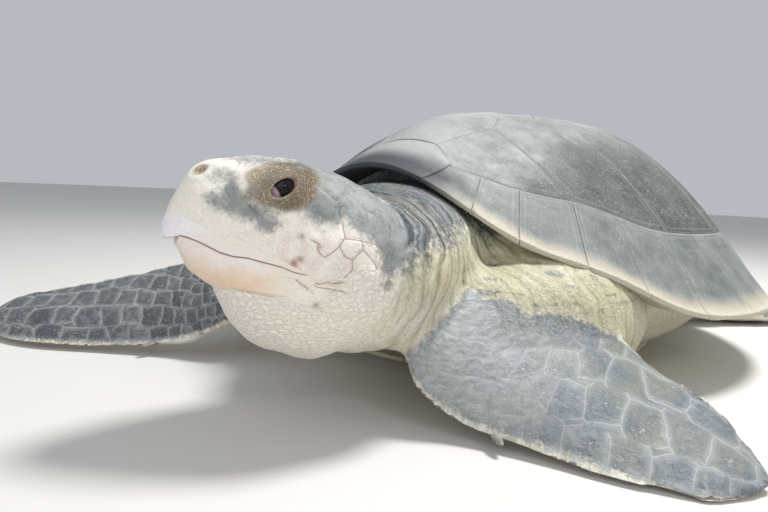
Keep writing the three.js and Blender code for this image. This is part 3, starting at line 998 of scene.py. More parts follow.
@dataclass
class Eyelids:
    """The opening between the lids, as an ellipse on the side of the head."""

    centre: tuple[float, float] = (21.9, 38.3)
    half_length: float = 8.4
    half_height: float = 4.9
    slant: float = -43.0
    thickness: float = 1.3
    pocket: float = 4.0

    def distance(self, along: Array, up: Array) -> Array:
        """Measures how far places are from the middle of the opening.

        Args:
            along: How far forward each place is.
            up: How high each place is.

        Returns:
            1 on the edge of the lids, less inside the opening and more outside it.
        """
        da, du = along - self.centre[0], up - self.centre[1]
        c, s = math.cos(math.radians(self.slant)), math.sin(math.radians(self.slant))
        return np.hypot((da * c + du * s) / self.half_length, (du * c - da * s) / self.half_height)

    def shape(self, rows: Array) -> Array:
        """Opens the lids in the skin of the head.

        Args:
            rows: Places on the skin as (along, left, up).

        Returns:
            The places, those round each eye moved.
        """
        rows = rows.copy()
        side = np.where(rows[:, 1] < 0, -1.0, 1.0)
        da, du = rows[:, 0] - self.centre[0], rows[:, 2] - self.centre[1]
        e = self.distance(rows[:, 0], rows[:, 2])
        beside = np.abs(rows[:, 1]) > 12
        rim = beside & (e > 0.84) & (e < 1.04)
        wall = beside & (e > 0.66) & (e <= 0.84)
        for chosen, level in ((rim, 1.0), (wall, 0.95)):
            factor = level / e[chosen]
            rows[chosen, 0] = self.centre[0] + da[chosen] * factor
            rows[chosen, 2] = self.centre[1] + du[chosen] * factor
        away = np.hypot(rows[:, 0] - HEAD.EYE[0], rows[:, 2] - HEAD.EYE[1])
        cover = HEAD.EYE_RADIUS + self.thickness
        over = HEAD.eye_across + np.sqrt(np.maximum(cover**2 - away**2, 0))
        ball_side = HEAD.eye_across + np.sqrt(np.maximum(HEAD.EYE_RADIUS**2 - away**2, 0))
        left = np.abs(rows[:, 1])
        softness = 2.2
        raised = softness * np.logaddexp(left / softness, (over - 0.4) / softness)
        near = beside & (away < 26)
        blend = 1 - ease(15, 26, away)
        lifted = left + (np.maximum(raised, np.where(e < 1.25, over, 0)) - left) * blend
        lifted = np.where(e <= 0.66, ball_side - self.pocket, lifted)
        lifted[wall] = ball_side[wall] - 0.5
        rows[near, 1] = (side * lifted)[near]
        return rows


ELBOW = [(109, -341), (133, -320), (145, -318), (164, -296), (184, -275), (210, -252)]
SCALE_LENGTH = Profile((0, 8), (0.2, 10), (0.42, 19), (0.7, 27), (1, 24))
SCALE_ROWS = Profile((0, 9), (0.2, 7.5), (0.42, 4.2), (0.6, 3.3), (1, 2.6))
# Thin seams between the plates of the head: on the cheek as (along, up), on the crown as (along, left).
# Seams that meet are in different channels.
CHEEK_SEAMS = (
    (0, [(3.5, 44.5), (-2.5, 41), (-9, 36.5), (-15.5, 43), (-16.5, 47.5), (-5, 53.5)]),
    (1, [(-15.5, 43), (-24.5, 41.5), (-29, 35.5), (-34.5, 33.5), (-36.5, 27.5), (-33, 18)]),
    (2, [(-9, 36.5), (-12, 28), (-16, 16.5), (-13.5, 11.5), (-8, 5.5)]),
    (0, [(-16, 16.5), (-26, 16.5), (-33.5, 18), (-40.5, 14), (-40.5, 7)]),
    (1, [(-26, 16.5), (-26.5, 11), (-23.5, 6), (-17, 6.5), (-14.5, 11)]),
    (0, [(-26.5, 11), (-32.5, 9.5), (-39, 3)]), (2, [(-23.5, 6), (-25, 1), (-20.5, -5)]),
    (0, [(2, 12), (-1.5, 10.5), (-5, 6.5)]), *enumerate(MOUTH_FOLDS)
)
CROWN_SEAMS = (
    (0, [(66, 0), (33, 0), (27, 11), (11, 14), (-4, 10), (-9, 0), (-60, 0)]), (1, [(50, 0), (46, 20)]),
    (1, [(27, 11), (34, 24)]), (1, [(11, 14), (6, 27), (-16, 30)]),
    (2, [(-4, 10), (-14, 8), (-16, 30), (-42, 26), (-60, 22)]), (1, [(-34, 0), (-38, 26)])
)


@dataclass
class Skin:
    """All the flesh of the animal as one closed surface."""

    voxel: float = 6.0
    swell: float = 3.0
    lost: float = 5.0
    girdle_middle: tuple[float, float, float] = (0.0, -200.0, 92.0)
    girdle_radii: tuple[float, float, float] = (180.0, 96.0, 91.0)
    lids: Eyelids = field(default_factory=Eyelids)
    limbs: dict[str, LimbForm] = field(default_factory=fleshed_limbs)
    head_faces: list[bool] = field(default_factory=list)

    PARTS = {"neck": Part.NECK, "tail": Part.TAIL, "arm": Part.ARM, "thigh": Part.THIGH, "foot": Part.FOOT}

    def girdle(self, angle: Array, t: Array, grow: float) -> Array:
        """Places the muscle between the shoulders.

        Args:
            angle: Round the ring, from the left side over the top.
            t: From one end at 0 to the other at 1.
            grow: How far outside the true form, in millimetres.

        Returns:
            The places, as rows of (x, y, z).
        """
        polar = math.pi * t
        ring = np.stack([np.sin(polar) * np.cos(angle), np.sin(polar) * np.sin(angle), np.cos(polar)], 1)
        return np.array(self.girdle_middle) + ring * (np.array(self.girdle_radii) + grow)

    def trunk(self, angle: Array, t: Array, grow: float) -> Array:
        """Places the body wall, from inside the shell down to the plastron.

        Args:
            angle: Round the ring, from the left side over the top.
            t: From one end at 0 to the other at 1.
            grow: How far outside the true form, in millimetres.

        Returns:
            The places, as rows of (x, y, z).
        """
        degrees = 180 - np.degrees(angle)
        degrees = np.where(degrees > 180, degrees - 360, degrees)
        rim, plate = SHELL.rim(degrees), PLATE.share(degrees)
        wider = grow / SHELL.half_width
        under = SHELL.underside
        stops = [
            (0 * plate, rim * 0 + SHELL.top - 12),
            (0 * plate + 0.5, SHELL.dome(degrees, 0 * plate + 0.5) - 12 + grow),
            (0 * plate + 0.8, SHELL.dome(degrees, 0 * plate + 0.8) - 12 + grow),
            (0 * plate + 0.89, rim + 1.5), (0 * plate + 0.86 + wider, rim - 3),
            (under + (plate - under) * 0.3 + wider, rim * 0.72),
            (under + (plate - under) * 0.62 + wider, rim * 0.4), (plate + 0.012 + wider, rim * 0 + 18),
            (plate + 0.004 + wider, rim * 0 + 8.4 - grow), (0 * plate, rim * 0 + 8.4 - grow)
        ]
        at = t * (len(stops) - 1)
        low = np.minimum(at.astype(int), len(stops) - 2)
        w = at - low
        shares, heights = (np.stack([stop[k] for stop in stops]) for k in (0, 1))
        rows = np.arange(len(t))
        share = shares[low, rows] * (1 - w) + shares[low + 1, rows] * w
        z = heights[low, rows] * (1 - w) + heights[low + 1, rows] * w
        x, y = SHELL.plan(degrees, share)
        return np.stack([x, y, z], 1)

    def forms(self) -> list[tuple[Part, Callable[[Array, Array, float], Array], int, int]]:
        """Lists the forms that the skin is joined from.

        Returns:
            For each its part, its placing and its steps round and along.
        """
        found = [
            (Part.HEAD, HEAD.ring, 72, 60), (Part.SHOULDER, self.girdle, 64, 32),
            (Part.TRUNK, self.trunk, 120, 72)
        ]
        for name, limb in self.limbs.items():
            found.append((self.PARTS[name.split("_")[0]], limb.place, 48, 72))
        for blade in BLADES.values():
            found.append((Part.BLADE, blade.place, 56, 110))
        return found

    def remeshed(self) -> Piece:
        """Joins the swollen forms into one even net of small faces.

        Returns:
            The skin, still swollen.
        """
        bm = bmesh.new()
        for part, place, around, along in self.forms():
            piece = ball(part.name.lower(), around, along, lambda a, t, p=place: p(a, t, self.swell))
            bm.from_mesh(piece.data)
            mesh = piece.data
            bpy.data.objects.remove(piece)
            bpy.data.meshes.remove(mesh)
        skin = new_object("skin", bm)
        net = skin.modifiers.new("net", "REMESH")
        net.mode = "VOXEL"
        net.voxel_size = self.voxel * MM
        settle(skin)
        return skin

    def labels(self, rows: Array) -> Array:
        """Finds the part that owns each place.

        Args:
            rows: Places, as rows in millimetres.

        Returns:
            1 for that part and 0 for the others, before it is evened out.
        """
        samples: list[Array] = []
        owners: list[int] = []
        for part, place, around, along in self.forms():
            t, angle = np.meshgrid(
                np.linspace(0.004, 0.996, along * 2), np.linspace(-math.pi, math.pi, around * 2)
            )
            places = place(angle.ravel(), t.ravel(), 0.0)
            samples.append(places)
            owners += [part] * len(places)
        owner = np.array(owners)[nearest_of(np.vstack(samples), rows)]
        return (owner[:, None] == np.arange(len(Part))[None]).astype(float)

    def build(self) -> Piece:
        """Joins, refines and shapes the skin.

        Returns:
            The skin.
        """
        skin = self.remeshed()
        mesh = skin.data
        pairs = edge_pairs(mesh)
        rows = spread(read_places(mesh), pairs, 3, 0.4)
        write_places(mesh, rows)
        rows -= read_normals(mesh) * self.swell
        write_places(mesh, rows)
        weights = spread(self.labels(rows), pairs, 3)
        rows = self.snap_head(rows, weights)
        write_places(mesh, rows)
        LOG.info("skin joined: %d vertices", len(rows))
        self.thin_hidden(skin)
        self.refine(skin)
        self.shape_details(skin)
        return skin

    def snap_head(self, rows: Array, weights: Array) -> Array:
        """Draws the skin of the head onto the head's true form.

        Args:
            rows: Places, as rows in millimetres.
            weights: How much each place belongs to each part of the skin.

        Returns:
            The moved places.
        """
        head = HEAD.to_head(rows)
        true = HEAD.to_body(HEAD.on_skin(head))
        hold = ease(0.35, 0.95, weights[:, Part.HEAD]) * ease(-60, -44, head[:, 0])
        return rows + (true - rows) * hold[:, None]

    def thin_hidden(self, skin: Piece) -> None:
        """Leaves few faces where the shell and the plastron cover the skin.

        Args:
            skin: The skin.
        """
        rows = read_places(skin.data)
        degrees, share = SHELL.polar(rows[:, 0], rows[:, 1])
        under_dome = (share < 0.86) & (rows[:, 2] > SHELL.rim(degrees) * 0.98 + 2)
        over_plate = (share < PLATE.share(degrees) - 0.02) & (rows[:, 2] < 12)
        hidden = under_dome | over_plate
        bm = bmesh.new()
        bm.from_mesh(skin.data)
        bm.verts.ensure_lookup_table()
        chosen = [v for v in bm.verts if hidden[v.index]]
        inside = set(chosen)
        edges = [e for e in bm.edges if e.verts[0] in inside and e.verts[1] in inside]
        bmesh.ops.dissolve_limit(bm, angle_limit=math.radians(14), verts=chosen, edges=edges)
        bmesh.ops.triangulate(bm, faces=[f for f in bm.faces if len(f.verts) > 4])
        bm.to_mesh(skin.data)
        bm.free()

    def refine(self, skin: Piece) -> None:
        """Splits the faces of the parts that carry fine relief, and evens them.

        Args:
            skin: The skin.
        """
        fine = (Part.HEAD, Part.NECK, Part.SHOULDER, Part.ARM, Part.BLADE)
        for chosen in (fine, (Part.HEAD,)):
            mesh = skin.data
            rows = read_places(mesh)
            weights = spread(self.labels(rows), edge_pairs(mesh), 2)
            wanted = weights[:, list(chosen)].sum(1) > 0.5
            if chosen == (Part.HEAD,):
                along, rise = self.neck_place(rows)
                wanted |= (weights[:, Part.NECK] > 0.5) & (along < 185) & (rise > -0.35)
            degrees, share = SHELL.polar(rows[:, 0], rows[:, 1])
            covered = (share < 0.84) & (rows[:, 2] > SHELL.rim(degrees) * 0.98 + 2)
            wanted &= ~covered & (rows[:, 2] > 3)
            bm = bmesh.new()
            bm.from_mesh(mesh)
            bm.verts.ensure_lookup_table()
            edges = [e for e in bm.edges if wanted[e.verts[0].index] and wanted[e.verts[1].index]]
            bmesh.ops.subdivide_edges(bm, edges=edges, cuts=1, use_grid_fill=True)
            bm.to_mesh(mesh)
            bm.free()
            rows = read_places(mesh)
            pairs = edge_pairs(mesh)
            weights = spread(self.labels(rows), pairs, 4)
            evened = spread(rows, pairs, 3, 0.35)
            hold = weights[:, list(fine)].sum(1)
            rows += (evened - rows) * np.minimum(1, hold * 1.2)[:, None]
            rows = self.snap_head(rows, weights)
            write_places(mesh, rows)
        smooth_shade(skin.data)
        LOG.info("skin refined: %d vertices, %d faces", len(skin.data.vertices), len(skin.data.polygons))

    # -------------------------------------------------------------- relief and markings

    def neck_place(self, rows: Array) -> tuple[Array, Array]:
        """Finds places along and round the neck.

        Args:
            rows: Places, as rows in millimetres.

        Returns:
            How far along it each is, in millimetres, and how far up its side.
        """
        neck = self.limbs["neck"]
        t = np.linspace(0, 1, 500)
        path = neck.path(t)
        run = np.concatenate([[0], np.cumsum(np.linalg.norm(np.diff(path, axis=0), axis=1))])
        nearest = nearest_of(path, rows)
        forward = neck.path.tangent(t)[nearest]
        off = rows - path[nearest]
        along = run[nearest] + np.sum(off * forward, 1)
        across = off - forward * np.sum(off * forward, 1)[:, None]
        return along, unit(across)[:, 2]

    def head_relief(self, head: Array) -> Array:
        """Shapes the head's folds, grooves, lids and nostrils.

        Args:
            head: Places on the head, as (along, left, up).

        Returns:
            How far the skin stands out, in millimetres.
        """
        along, left, up = head.T
        side = np.column_stack([along, up, np.zeros(len(up))])
        flank = ease(9, 20, np.abs(left))
        out = 2.6 * flank * spot(side, (20, 41, 0), (24, 16, 1), -20)
        out -= 1.4 * flank * spot(side, (45, 27, 0), (11, 10, 1))
        out += 1.2 * flank * spot(side, (-22, 8, 0), (24, 20, 1))
        out -= 1.0 * flank * spot(side, (-2, 22, 0), (12, 8, 1))
        mouth, top, low = (line_at(line, along) for line in (MOUTH, UPPER_BORDER, LOWER_BORDER))
        jaw = ease(4, 12, along)
        horned = ease(low - 1.5, low + 1.5, up) * (1 - ease(top - 7, top + 1, up)) * jaw
        out -= 0.5 * horned
        out -= 4.5 * jaw * np.exp(-(((up - mouth) / 2.6) ** 2))
        out -= 1.1 * jaw * np.exp(-(((up - low + 1.2) / 2.2) ** 2))
        flat = side[:, :2]
        for line, depth in zip(MOUTH_FOLDS, (2.0, 1.2, 0.9)):
            fold = away_from_line(flat, line)
            out -= depth * flank * np.exp(-((fold / 1.7) ** 2))
            out += 0.35 * depth * flank * np.exp(-(((fold - 4) / 2.6) ** 2))
        jaw_edge = away_from_line(flat, JAW_LINE)
        out -= 1.2 * flank * np.exp(-((jaw_edge / 1.5) ** 2))
        out -= 0.45 * np.exp(-((self.head_seams(head)[1] / 1.2) ** 2))
        sides = np.column_stack([along, up, np.abs(left)])
        out -= 4.2 * spot(sides, (66.5, 38.8, 12.5), (4.6, 2.4, 4.5), -39)
        out += 1.5 * spot(sides, (66.5, 38.8, 12.5), (9, 6, 8), -39)
        out += 0.45 * noise_at(head, 26, 1) + 0.15 * noise_at(head, 9, 2)
        return out

    def head_seams(self, head: Array) -> tuple[Array, Array]:
        """Finds the thin seams between the plates of the head.

        Args:
            head: Places on the head, as (along, left, up).

        Returns:
            Each channel's signed distance from its nearest seam, and the distance from any seam.
        """
        along, left, up = head.T
        across, wander = np.abs(left), 0.9 * noise_at(head, 9, 3)
        near, signed = np.full((len(head), 3), FAR), np.full((len(head), 3), FAR)
        views = (
            (CHEEK_SEAMS, np.column_stack([along + wander, up - wander]), (across > 16) & (up < 51)),
            (CROWN_SEAMS, np.column_stack([along + wander, across + wander * (across > 3)]), up > 44)
        )
        for seams, places, seen in views:
            for channel, line in seams:
                distance, sided = beside_line(places, line)
                closer = seen & (distance < near[:, channel])
                near[closer, channel], signed[closer, channel] = distance[closer], sided[closer]
        return signed, near.min(1)

    def neck_folds(self, rows: Array, weights: Array) -> tuple[Array, Array, Array]:
        """Returns the relief of the neck's folds, where they are in their rhythm, and how strong.

        Args:
            rows: Places on the skin.
            weights: How much each place belongs to each part.

        Returns:
            Their relief, where each place is in their rhythm, and how strong they are.
        """
        along, rise = self.neck_place(rows)
        behind = -HEAD.to_head(rows)[:, 0]
        loose = weights[:, Part.NECK] + 0.9 * weights[:, Part.SHOULDER]
        loose += weights[:, Part.HEAD] + 0.5 * weights[:, Part.ARM] * (1 - ease(150, 230, along))
        strength = np.clip(loose, 0, 1) * ease(55, 66, behind) * (1 - 0.7 * ease(150, 235, along))
        strength *= 0.5 + 0.5 * ease(-0.5, 0.4, rise)
        wander = noise_at(rows, 80, 4) * 0.4 + noise_at(rows, 24, 6) * 0.14
        rhythm = (0.45 * behind + 0.55 * along) / 10.5 + wander - 0.4 * rise
        wave = np.abs(np.sin(math.pi * rhythm)) ** 0.9
        small = np.abs(np.sin(math.pi * (2 * rhythm + 0.3)))
        top = ease(0.1, 0.8, rise)
        out = strength * ((2.2 + 1.6 * top) * wave + (0.8 + 0.4 * top) * small - 2.4)
        return out, rhythm, strength

    def beyond_elbow(self, rows: Array) -> Array:
        """Returns how far behind the fold of the elbow each place is."""
        return rows[:, 1] - np.interp(np.abs(rows[:, 0]), *np.array(ELBOW, float).T)

    def blade_place(self, rows: Array, blade: BladeForm) -> tuple[Array, Array, Array, Array]:
        """Finds places on a fore flipper's middle sheet.

        Args:
            rows: Places, as rows in millimetres.
            blade: The flipper.

        Returns:
            How far along it, the share of the chord, how far above the sheet, and its nearest place.
        """
        t, share = np.meshgrid(np.linspace(0, 1, 220), np.linspace(0, 1, 40))
        t, share = t.ravel(), share.ravel()
        found = nearest_of(blade.middle(t, share), rows)
        t, share = t[found], share[found]
        step = 0.002
        for _ in range(2):
            here = blade.middle(t, share)
            along = (blade.middle(np.minimum(t + step, 1), share) - here) / step
            across = blade.trail(t) - blade.lead(t)
            rest = rows - here
            t = np.clip(t + np.sum(rest * along, 1) / np.maximum(np.sum(along**2, 1), 1), 0, 1)
            share = np.clip(share + np.sum(rest * across, 1) / np.sum(across**2, 1), 0, 1)
        here = blade.middle(t, share)
        normal = blade.section(t)[2]
        return t, share, np.sum((rows - here) * normal, 1), here

    def snap_blades(self, rows: Array, weights: Array) -> Array:
        """Draws each fore flipper onto its true thin form.

        Args:
            rows: Places, as rows in millimetres.
            weights: How much each place belongs to each part of the skin.

        Returns:
            The moved places.
        """
        own = ease(0.5, 0.95, weights[:, Part.BLADE])
        for side, blade in BLADES.items():
            chosen = np.nonzero((own > 0) & (rows[:, 0] * side.value > 0))[0]
            t, share, over, _ = self.blade_place(rows[chosen], blade)
            length = np.linalg.norm(blade.lead(np.array([1.0])) - blade.lead(np.array([0.0])))
            chord = blade.section(t)[3]
            t = np.clip(t / (1 - self.lost / length), 0, 1)
            share = np.clip((share * chord - self.lost) / (chord - 2 * self.lost), 0, 1)
            _, _, normal, _, thick = blade.section(t)
            sine = 2 * np.sqrt(np.maximum(share * (1 - share), 0))
            half = (thick * sine * (1 - 0.62 * share) * 0.62 + blade.EDGE) * sine
            cap = np.sqrt(np.maximum(0, 1 - t**28))
            target = blade.middle(t, share) + normal * (np.clip(over / 1.2, -1, 1) * half * cap)[:, None]
            hold = own[chosen] * ease(0.04, 0.16, t)
            rows[chosen] += (target - rows[chosen]) * hold[:, None]
        return rows

    def blade_marks(self, rows: Array, weights: Array) -> tuple[Array, Array]:
        """Finds places in the rhythm of the flippers' scales.

        Args:
            rows: Places, as rows in millimetres.
            weights: How much each place belongs to each part of the skin.

        Returns:
            Their places in it, and the dark of each side.
        """
        cells, back = np.zeros((len(rows), 3)), np.zeros(len(rows))
        steps = np.linspace(0, 1, 400)
        for side, blade in BLADES.items():
            chosen = np.nonzero((weights[:, Part.BLADE] > 0.02) & (rows[:, 0] * side.value > 0))[0]
            t, share, over, _ = self.blade_place(rows[chosen], blade)
            size = SCALE_LENGTH(steps)
            speed = np.linalg.norm(np.gradient(blade.middle(steps, steps * 0 + 0.5), steps, axis=0), axis=1)
            run = np.concatenate([[0], np.cumsum((speed / size)[1:] * np.diff(steps))])
            cells[chosen, 0] = np.interp(t, steps, run)
            cells[chosen, 1] = share * SCALE_ROWS(t)
            # The third number keeps the faces' scale patterns apart; its values below -15 mark the far
            # (right) flipper, which the body finish darkens with painted shade.
            cells[chosen, 2] = np.where(over > 0, 0.0, 40.0) * side.value - (
                30 if side is Side.RIGHT else 0
            )
            margin = np.minimum(ease(0.01, 0.07, share), ease(0, 0.035, 1 - share))
            back[chosen] = ease(-1.5, 1.5, over) * (0.3 + 0.7 * margin)
        return cells, back

    def dress(self, skin: Piece, head: Material, body: Material) -> None:
        """Gives the faces of the head one material and all others another.

        Args:
            skin: The skin.
            head: The head's material.
            body: The other material.
        """
        for material in (head, body):
            skin.data.materials.append(material)
        for face, on_head in zip(skin.data.polygons, self.head_faces):
            face.material_index = 0 if on_head else 1

    def tones(self, rows: Array, normals: Array, weights: Array, back: Array) -> dict[str, Array]:
        """Works out the soft masks of the skin's markings.

        Args:
            rows: Places on the skin.
            normals: Directions of the skin.
            weights: How much each place belongs to each part.
            back: 1 on the upper face of a fore flipper.

        Returns:
            A mask for each colour, by name.
        """
        head = HEAD.to_head(rows)
        along, left, up = head.T
        side = np.column_stack([along, up, np.zeros(len(up))])
        flat = side[:, :2]
        flank = ease(8, 18, np.abs(left))
        w = {part: weights[:, part] for part in Part}
        _, rise = self.neck_place(rows)
        lift = normals[:, 2]
        smear = away_from_line(flat, [(57, 23), (47, 20.5), (38, 20.5), (25.5, 16)])
        upper = away_from_line(flat, [(47, 30), (51, 39), (57, 38.5)])
        face = 0.72 * np.exp(-((smear / 7.5) ** 2)) + 0.55 * np.exp(-((upper / 6.5) ** 2))
        face += 0.5 * spot(side, (49.5, 31.5, 0), (3, 3, 1))
        temple = away_from_line(flat, [(-2, 37), (-20, 39), (-38, 31), (-54, 24), (-60, 10)])
        face += 1.5 * np.exp(-((temple / (14 + 9 * ease(32, 52, -along))) ** 2)) * (
            1 - 0.4 * spot(side, (-15, 27, 0), (4, 9, 1))
        )
        crown = ease(43, 52, up + 25 * ease(20, 50, -along)) * (1 - ease(52, 66, along))
        face = face * flank + (0.6 + 0.3 * ease(20, 50, -along)) * crown
        nape = 1 - ease(62, 90, -along)
        collar = ease(0.05 - 0.2 * nape, 0.75 - 0.25 * nape, rise) * ease(52, 62, -along)
        dorsal = ease(-0.35, 0.3, lift)
        elbow = 1 - ease(-3, 3, self.beyond_elbow(rows))
        streaks = ease(0.2, 0.9, noise_at(rows * np.array([0.22, 0.3, 1.2]), 9, 12)) * ease(-0.1, 0.6, lift)
        dark = w[Part.HEAD] * np.clip(face, 0, 1) * (1 - ease(56, 66, -along)) + w[Part.HEAD] * collar * 0.8
        dark += w[Part.NECK] * (0.12 + 0.8 * collar) + w[Part.SHOULDER] * (0.2 + 0.25 * streaks)
        dark += w[Part.ARM] * (
            0.12 + 0.42 * streaks * (1 - elbow) + 0.88 * elbow
        ) * ease(-0.2, 0.45, lift) + w[Part.BLADE] * (0.12 + 0.88 * back)
        dark += (w[Part.THIGH] + w[Part.FOOT] + w[Part.TAIL]) * dorsal * 0.95
        dark += (w[Part.TRUNK] + w[Part.SHOULDER]) * ease(112, 135, rows[:, 2]) * (
            1 - ease(70, 110, np.abs(rows[:, 0]))
        )
        middle = np.exp(-(((rise - 0.1) / 0.42) ** 2)) * ease(56, 66, -along)
        yellow = w[Part.NECK] * middle * 0.8 + w[Part.HEAD] * middle * 0.5 + w[Part.SHOULDER] * 0.8
        yellow += w[Part.TRUNK] * 0.4 + w[Part.ARM] * 0.8 * (1 - elbow * dorsal)
        yellow += 0.75 * w[Part.HEAD] * spot(head, (64, 0, 22), (20, 34, 14))
        pink = 0.3 * flank * spot(side, (4, 0, 0), (26, 13, 1))
        for place in ((8.4, 13.1), (9.3, -3.1), (-12, -25)):
            pink += 0.8 * flank * spot(side, (*place, 0), (3.2, 2.6, 1))
        pink = w[Part.HEAD] * pink + 0.12 * (w[Part.NECK] + w[Part.SHOULDER]) * ease(
            0.2, 1, noise_at(rows, 34, 8)
        )
        patch = np.linalg.norm(turned(flat - np.array([21.5, 38.4]), -10) / np.array([19.5, 14.0]), axis=1)
        corner = np.linalg.norm(turned(flat - np.array([9.5, 45.0]), -38) / np.array([10.0, 6.0]), axis=1)
        patch = np.minimum(patch, corner)
        brown = w[Part.HEAD] * flank * (1 - ease(0.82, 1.16, patch + 0.12 * noise_at(head, 12, 9)))
        # The nostril pit and its rim are painted dark brown: painted shade in the opening.
        nostril = spot(np.column_stack([flat, np.abs(left)]), (66.5, 38.8, 12.5), (5.2, 3.0, 6), -39)
        brown = np.maximum(brown, w[Part.HEAD] * ease(0.3, 0.5, nostril))
        for place in ((9.0, -3.3), (6.4, -0.1), (-8.1, -25.4), (8.0, 13.0)):
            brown = np.maximum(brown, 0.8 * w[Part.HEAD] * flank * spot(side, (*place, 0), (1.9, 1.5, 1)))
        # A pale haze on the near (left) fore flipper and elbow, strongest at the root, which goes into the
        # brown mask: partly scuffed wear, partly painted light.
        root = BLADES[Side.LEFT].lead(np.array([0.0])) * np.sign(rows[:, :1]) ** [1, 0, 0]
        reach = np.linalg.norm(rows - root, axis=1)
        paler = (
            w[Part.BLADE] * back + w[Part.ARM] * elbow
        ) * (1 - 0.93 * ease(30, 175, reach)) * (rows[:, 0] > 0)
        paler *= 1 - w[Part.HEAD]
        return {
            "dark": np.clip(dark, 0, 1), "yellow": np.clip(yellow, 0, 1), "pink": np.clip(pink, 0, 1),
            "brown": np.maximum(brown, paler)
        }

    def shape_details(self, skin: Piece) -> None:
        """Raises the relief of the skin, opens the lids and stores what the finish reads.

        Args:
            skin: The skin.
        """
        mesh = skin.data
        rows, pairs = read_places(mesh), edge_pairs(mesh)
        labels = self.labels(rows)
        weights = spread(labels, pairs, 8)
        rows = self.snap_blades(rows, spread(labels, pairs, 2))
        behind = self.beyond_elbow(rows)
        elbow = (weights[:, Part.ARM] + weights[:, Part.BLADE]) * ease(102, 116, rows[:, 0])
        filled = elbow * np.exp(-(((behind + 9) / 13) ** 2)) * ease(30, 50, rows[:, 2])
        rows += (spread(rows, pairs, 70) - rows) * filled[:, None]
        write_places(mesh, rows)
        normals = read_normals(mesh)
        head = HEAD.to_head(rows)
        folds, rhythm, strength = self.neck_folds(rows, weights)
        own = ease(0.2, 0.8, weights[:, Part.HEAD])
        cells, back = self.blade_marks(rows, weights)
        marks = self.tones(rows, normals, weights, back)
        out = self.head_relief(head) * own + folds
        soft = 1 - own - weights[:, Part.BLADE]
        out += 0.5 * soft * noise_at(rows, 40, 7)
        rows += normals * out[:, None]
        near_eye = own > 0.5
        shaped = self.lids.shape(HEAD.to_head(rows[near_eye]))
        rows[near_eye] = HEAD.to_body(shaped)
        head = HEAD.to_head(rows)
        chin = (own > 0.5) & (head[:, 0] > 71) & (head[:, 2] < line_at(MOUTH, head[:, 0]) - 0.4)
        head[chin, 0] = 71 + 0.1 * (head[chin, 0] - 71)
        rows[chin] = HEAD.to_body(head[chin])
        rows[:, 2] = np.maximum(rows[:, 2], 0.4)
        write_places(mesh, rows)
        set_values(mesh, "head_pos", head)
        signed, near = self.head_seams(head)
        set_values(mesh, "seam_pos", signed)
        set_values(mesh, "fold_pos", np.stack([rhythm, strength, near], 1))
        along, _, up = head.T
        tiled = np.maximum(1 - ease(-27, -24.5, up), (1 - ease(-16, -8, along)) * (1 - ease(0, 8, up)))
        cells[:, 0] += tiled * own * (weights[:, Part.BLADE] < 0.01)
        set_values(mesh, "cell_pos", cells)
        set_values(mesh, "tone_a", np.stack([marks["dark"], marks["yellow"], marks["pink"]], 1))
        set_values(mesh, "tone_b", np.stack([marks["brown"], own, weights[:, Part.BLADE]], 1))
        self.head_faces = [any(own[i] > 0.02 for i in face.vertices) for face in mesh.polygons]
        LOG.info("skin shaped: %d triangles", sum(len(face.vertices) - 2 for face in mesh.polygons))


# ------------------------------------------------------------------ eyes, beak and claws


@dataclass
class Eyes:
    """The two eyeballs."""

    radius: float = HEAD.EYE_RADIUS
    gaze: tuple[float, float, float] = (0.16, 1.0, -0.03)
    cornea: float = 0.9

    def build(self, side: Side) -> Piece:
        """Builds one eyeball, with how far each place is from the pupil's middle kept on it.

        Args:
            side: Which side it is on.

        Returns:
            The eyeball.
        """
        middle = np.array([HEAD.EYE[0], side.value * HEAD.eye_across, HEAD.EYE[1]])
        gaze = unit(np.array([self.gaze]))[0] * np.array([1, side.value, 1])

        def place(angle: Array, t: Array) -> Array:
            """Puts the sphere's pole on the gaze and raises the cornea.

            Args:
                angle: Round the ring, from the left side over the top.
                t: From the pupil at 0 to the back at 1.

            Returns:
                The places, as rows of (x, y, z).
            """
            polar = math.pi * t
            aside = unit(np.cross(gaze, [0.0, 0.0, 1.0])[None])[0]
            over = np.cross(aside, gaze)
            lift = self.cornea * np.exp(-((polar / 0.42) ** 2))
            ring = (
                gaze * np.cos(polar)[:, None] + aside * (np.sin(polar) * np.cos(angle))[:, None]
                + over * (np.sin(polar) * np.sin(angle))[:, None]
            )
            return HEAD.to_body(middle + ring * (self.radius - self.cornea + lift)[:, None])

        eye = ball(f"eyeball_{side.word}", 64, 48, place)
        head = HEAD.to_head(read_places(eye.data)) - middle
        off_gaze = np.degrees(np.arccos(np.clip(unit(head) @ gaze, -1, 1)))
        lid = Eyelids()
        front_low = spot(head[:, [0, 2]], (8.8, -5.8), (5.0, 9.5), lid.slant)
        set_values(eye.data, "gaze", np.stack([off_gaze, front_low, head[:, 2]], 1))
        return enrol(eye, "eye", f"eye_{side.word}")


